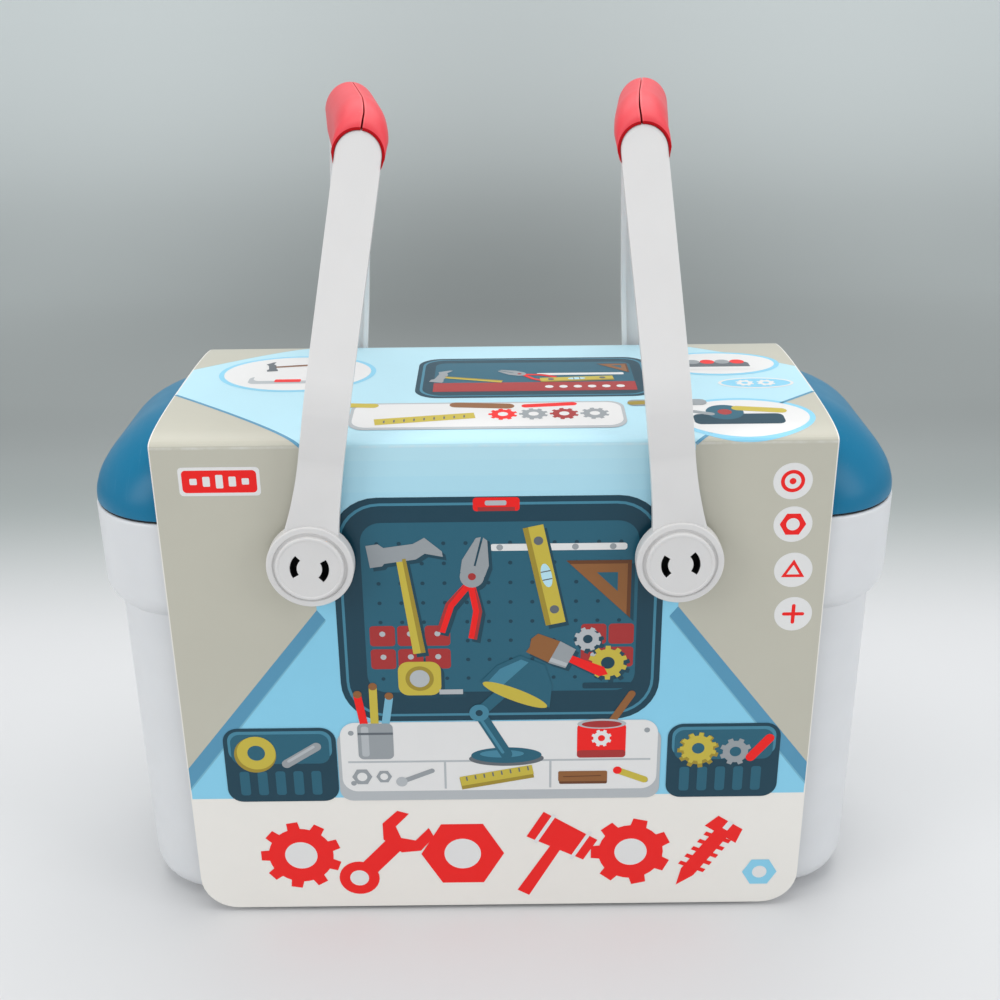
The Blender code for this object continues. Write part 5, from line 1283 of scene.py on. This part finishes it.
def twisted(piece, side):
    """Turn the rear end of a handle's piece back towards upright, and the front end not at all."""
    reach = arm_back - arm_lean_share * (arm_rise - arm_bend_height)
    twist = side * (twist_left if side < 0 else twist_right)
    for vert in piece.data.vertices:
        share = min(1, max(0, (vert.co.y + reach) / (2 * reach)))
        vert.co = Matrix.Rotation(twist * share, 4, "Y") @ vert.co


def set_in_place(piece, side, side_y=-1):
    """Move a piece's mesh from its own drawing to where it sits; the rear ones are turned round."""
    if side_y > 0:
        piece.data.transform(Matrix.Rotation(math.pi, 4, "Z"))
    twisted(piece, side)
    piece.data.transform(handle_place(side))


def rounded_rim(radius, height, round_edge, steps):
    """Radius and height round the outer edge of a disc."""
    return [(radius - round_edge * (1 - math.cos(turn)), height - round_edge * (1 - math.sin(turn)))
            for turn in turns(steps)]


def make_hub(name):
    """The hub's disc, groove and cap, with two chamfered slots cut almost through, their deep faces painted
    black as shadow.
    """
    face = arm_thickness + hub_proud
    cap = face + cap_proud
    floor = face - groove_depth
    rim = cap_radius + groove_width
    dish = cap_radius - cap_border
    profile = [(hub_radius, 0), *rounded_rim(hub_radius, face, hub_edge, 5),
               (rim + groove_chamfer, face), (rim, face - groove_chamfer), (rim, floor), (cap_radius, floor),
               *rounded_rim(cap_radius, cap, cap_edge, 4),
               (dish, cap), (dish - cap_dish_slope, cap - cap_dish_depth)]
    bm = bmesh.new()
    lathe(bm, profile, (0, -arm_back, 0), (0, -1, 0), segments=96)
    hub = mesh_piece(name, bm, 30)
    hub.data.materials.append(arm_plastic)
    front = arm_back + cap
    for side in (-1, 1):
        bm = bmesh.new()
        levels = ((slot_chamfer + slot_overcut, -slot_overcut), (0, slot_chamfer), (0, slot_depth))
        lofted(bm, [[(x, depth - front, z) for x, z in slot_shape(side, grow)] for grow, depth in levels])
        cutter = mesh_piece(name + "_slot", bm)
        cutter.data.materials.append(arm_plastic)
        cutter.data.materials.append(slot_shadow)
        # Faces deeper than the chamfer get the black material: painted shadow where the slot looks deep.
        for polygon in cutter.data.polygons:
            deepest = min(-cutter.data.vertices[index].co.y for index in polygon.vertices)
            polygon.material_index = 1 if deepest < front - slot_chamfer - slot_overcut else 0
        cut_with(hub, cutter)
    return hub


def make_arm(name, mirror):
    """A flat arm with its hollow channel at the back."""
    plate = standing_plate(arm_outline(0, arm_foot, arm_rise, mirror), arm_back, arm_back + arm_thickness,
                           arm_edge_round)
    arm = mesh_piece(name, plate, 35)
    arm.data.materials.append(arm_plastic)
    channel = standing_plate(arm_outline(channel_wall, channel_foot, channel_head, mirror),
                             arm_back - channel_overcut, arm_back + channel_depth)
    cut_with(arm, mesh_piece(name + "_channel", channel))
    return arm


for side, side_name in ((-1, "left"), (1, "right")):
    body = "handle_" + side_name
    for side_y, end_name in ((-1, "front"), (1, "rear")):
        name = body + "_" + end_name
        arm = make_arm(name + "_blade", side if side_y < 0 else -side)
        hub = make_hub(name + "_hub")
        for piece in (arm, hub):
            set_in_place(piece, side, side_y)
            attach(piece, body)
        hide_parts(name + "_arm")

# Grips
# Each grip is two halves of coral red plastic closed round the bar between the arms, hollow where
# the arms' heads reach in. It is widest and highest in the middle, keeps the slant of the arms at
# its ends, and its halves leave a parting line along top and bottom that opens a little at the ends.
grip_bottom = 159.5 * mm
grip_rim = 1.3 * mm
grip_crown = 9.2 * mm
grip_shoulder = 7.8 * mm
grip_foot_width = 19.2 * mm
grip_foot_round = 3.0 * mm
grip_swell = 0.6 * mm
grip_end_share = 0.45
grip_proud = 0.5 * mm
grip_part = 0.4 * mm
grip_end_part = 0.8 * mm
grip_open_share = 0.5
head_room = 0.25 * mm
head_room_back = 0.3 * mm
head_room_depth = 12 * mm
head_room_foot = 60 * mm
end_tolerance = 0.1 * mm
grip_red = (0.83, 0.055, 0.075)
# Pale red at the grip's edges: wear and painted highlight.
grip_edge_wear_and_highlight_red = (0.95, 0.28, 0.28)
# The grip's end faces get a darker red: painted shade of faces turned away from the light.
end_shade_red = (0.42, 0.0, 0.004)
end_shade_plastic = moulded_material("grip_end_painted_shade", end_shade_red, 0.5, edge_wear_and_highlight=0, dust=0)
end_shade_plastic.node_tree.nodes["Principled BSDF"].inputs["Specular IOR Level"].default_value = 0.15
grip_plastic = moulded_material("grip_plastic", grip_red, 0.42, edge_wear_and_highlight=0.4, edge_wear_and_highlight_colour=grip_edge_wear_and_highlight_red,
                                dust=0.15, scatter=0.1)


def grip_half_length(height):
    """Distance from the middle to a grip's slanting end at a height."""
    return arm_back + arm_thickness + grip_proud - arm_lean_share * (height - arm_bend_height)


def mark_end_faces(grip):
    """The narrow faces round the arms' heads get a deeper red: painted shade of plastic out of the light."""
    for face in grip.data.polygons:
        points = [grip.data.vertices[index].co for index in face.vertices]
        at_end = all(abs(abs(point.y) - grip_half_length(point.z)) < end_tolerance for point in points)
        face.material_index = 1 if at_end else 0


def grip_section(along, side):
    """Half of the grip's outline at a share of its length, from the lower seam to the upper."""
    near_end = min(1.0, (1 - abs(along)) / grip_end_share)
    swell = math.sqrt(max(0, 1 - (1 - near_end) ** 2))
    end_radius = arm_width / 2 + grip_rim
    shoulder = arm_rise + grip_rim - end_radius + grip_shoulder * swell
    top = arm_rise + grip_rim + grip_crown * swell
    wide = end_radius + grip_swell * swell / 2
    opening = max(0.0, 1 - (1 - abs(along)) / grip_open_share)
    seam = grip_part / 2 + (grip_end_part - grip_part) / 2 * opening ** 2
    profile = [(seam, grip_bottom)]
    for turn in turns(5):
        profile.append((grip_foot_width / 2 - grip_foot_round * (1 - math.sin(turn)),
                        grip_bottom + grip_foot_round * (1 - math.cos(turn))))
    for turn in turns(14):
        profile.append((max(seam, wide * math.cos(turn)), shoulder + (top - shoulder) * math.sin(turn)))
    return [(side * x, along * grip_half_length(z), z) for x, z in profile]


def make_grip(name, side):
    """Half of a grip, hollowed at both ends for the arms' heads."""
    bm = bmesh.new()
    lofted(bm, [grip_section(math.sin(turn), side) for turn in turns(40, -math.pi / 2, math.pi / 2)])
    grip = mesh_piece(name, bm, 35)
    grip.data.materials.append(grip_plastic)
    grip.data.materials.append(end_shade_plastic)
    for side_y in (-1, 1):
        outline = arm_outline(-head_room, head_room_foot, arm_rise + head_room, 1)
        room = mesh_piece(name + "_room", standing_plate(outline, arm_back - head_room_back,
                                                         arm_back + head_room_depth))
        room.data.transform(Matrix.Rotation(0 if side_y < 0 else math.pi, 4, "Z"))
        room.data.materials.append(grip_plastic)
        cut_with(grip, room)
    mark_end_faces(grip)
    return grip


for side, side_name in ((-1, "left"), (1, "right")):
    body = "handle_" + side_name
    for across, half_name in ((side, "outer"), (-side, "inner")):
        name = body + "_grip_" + half_name
        grip = make_grip(name + "_shell", across)
        set_in_place(grip, side)
        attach(grip, body)
        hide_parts(name)

# Bars, trays, tools and metal parts
# What lies inside the closed box: moulded trays and toy tools in bright plastics, two strips of
# soft wood, and small steel pins and shafts.
wood_brown = (0.22, 0.10, 0.04)
wood_light = (0.33, 0.17, 0.075)
wood_pores = (0.09, 0.035, 0.012)
steel_grey = (0.62, 0.62, 0.63)
steel_light = (0.66, 0.66, 0.67)
steel_dark = (0.50, 0.50, 0.51)
toy_plastics = (
    ("red_plastic", (0.55, 0.03, 0.04), 0.36, ("lid_latch", "vise_fixed_jaw", "vise_moving_jaw")),
    ("dark_blue_plastic", (0.03, 0.10, 0.16), 0.4, ("side_tray_left", "side_tray_right", "press_body",
                                                    "vise_base")),
    ("yellow_plastic", (0.66, 0.52, 0.10), 0.36, ("drill_shell_upper", "drill_shell_lower", "driver_handle",
                                                  "driver_knob", "wrench_handle", "saw_handle",
                                                  "knife_handle")),
    ("grey_plastic", (0.30, 0.31, 0.32), 0.42, ("hex_bolt_1", "hex_bolt_2", "square_nut", "wrench_head",
                                                "saw_blade", "knife_blade", "drill_chuck", "drill_trigger",
                                                "vise_screw")),
    ("light_blue_plastic", (0.25, 0.42, 0.62), 0.38, ("vise_wheel", "press_quill", "press_lever")))


def dress(material, *names):
    """Give pieces of the drawn object their material."""
    for name in names:
        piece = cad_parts[name]
        piece.data.materials.clear()
        piece.data.materials.append(material)


def wood_material():
    """Brown stained wood: long grain with darker pores."""
    material, tree, shader = new_material("stained_wood", wood_brown, 0.6)
    grain = stretched_noise(tree, (40, 700, 700), detail=5, distortion=0.6)
    feed(tree, shader.inputs["Base Color"], blend_colour(tree, grain, wood_light, wood_pores, 1.0))
    feed(tree, shader.inputs["Normal"], bump(tree, grain, strength=0.25, distance=0.15 * mm))
    return material


def steel_material():
    """Drawn steel wire: fine lines along its length and an uneven gloss."""
    material, tree, shader = new_material("drawn_steel", steel_grey, 0.3)
    shader.inputs["Metallic"].default_value = 1.0
    lines = stretched_noise(tree, (60, 2500, 2500), detail=3)
    feed(tree, shader.inputs["Roughness"], mapped(tree, lines, to_low=0.22, to_high=0.42))
    feed(tree, shader.inputs["Base Color"], blend_colour(tree, lines, steel_light, steel_dark, 1.0))
    return material


dress(arm_plastic, "handle_left_bar", "handle_right_bar")
dress(white_plastic, "work_tray", "lid_peg_rail", "rack_basket")
for plastic, colour, roughness, names in toy_plastics:
    dress(moulded_material(plastic, colour, roughness), *names)
dress(steel_material(), "lid_hinge_pin_left", "lid_hinge_pin_right", "lid_latch_pin", "driver_shaft",
      "drill_bit")
dress(wood_material(), "wood_strip_1", "wood_strip_2")
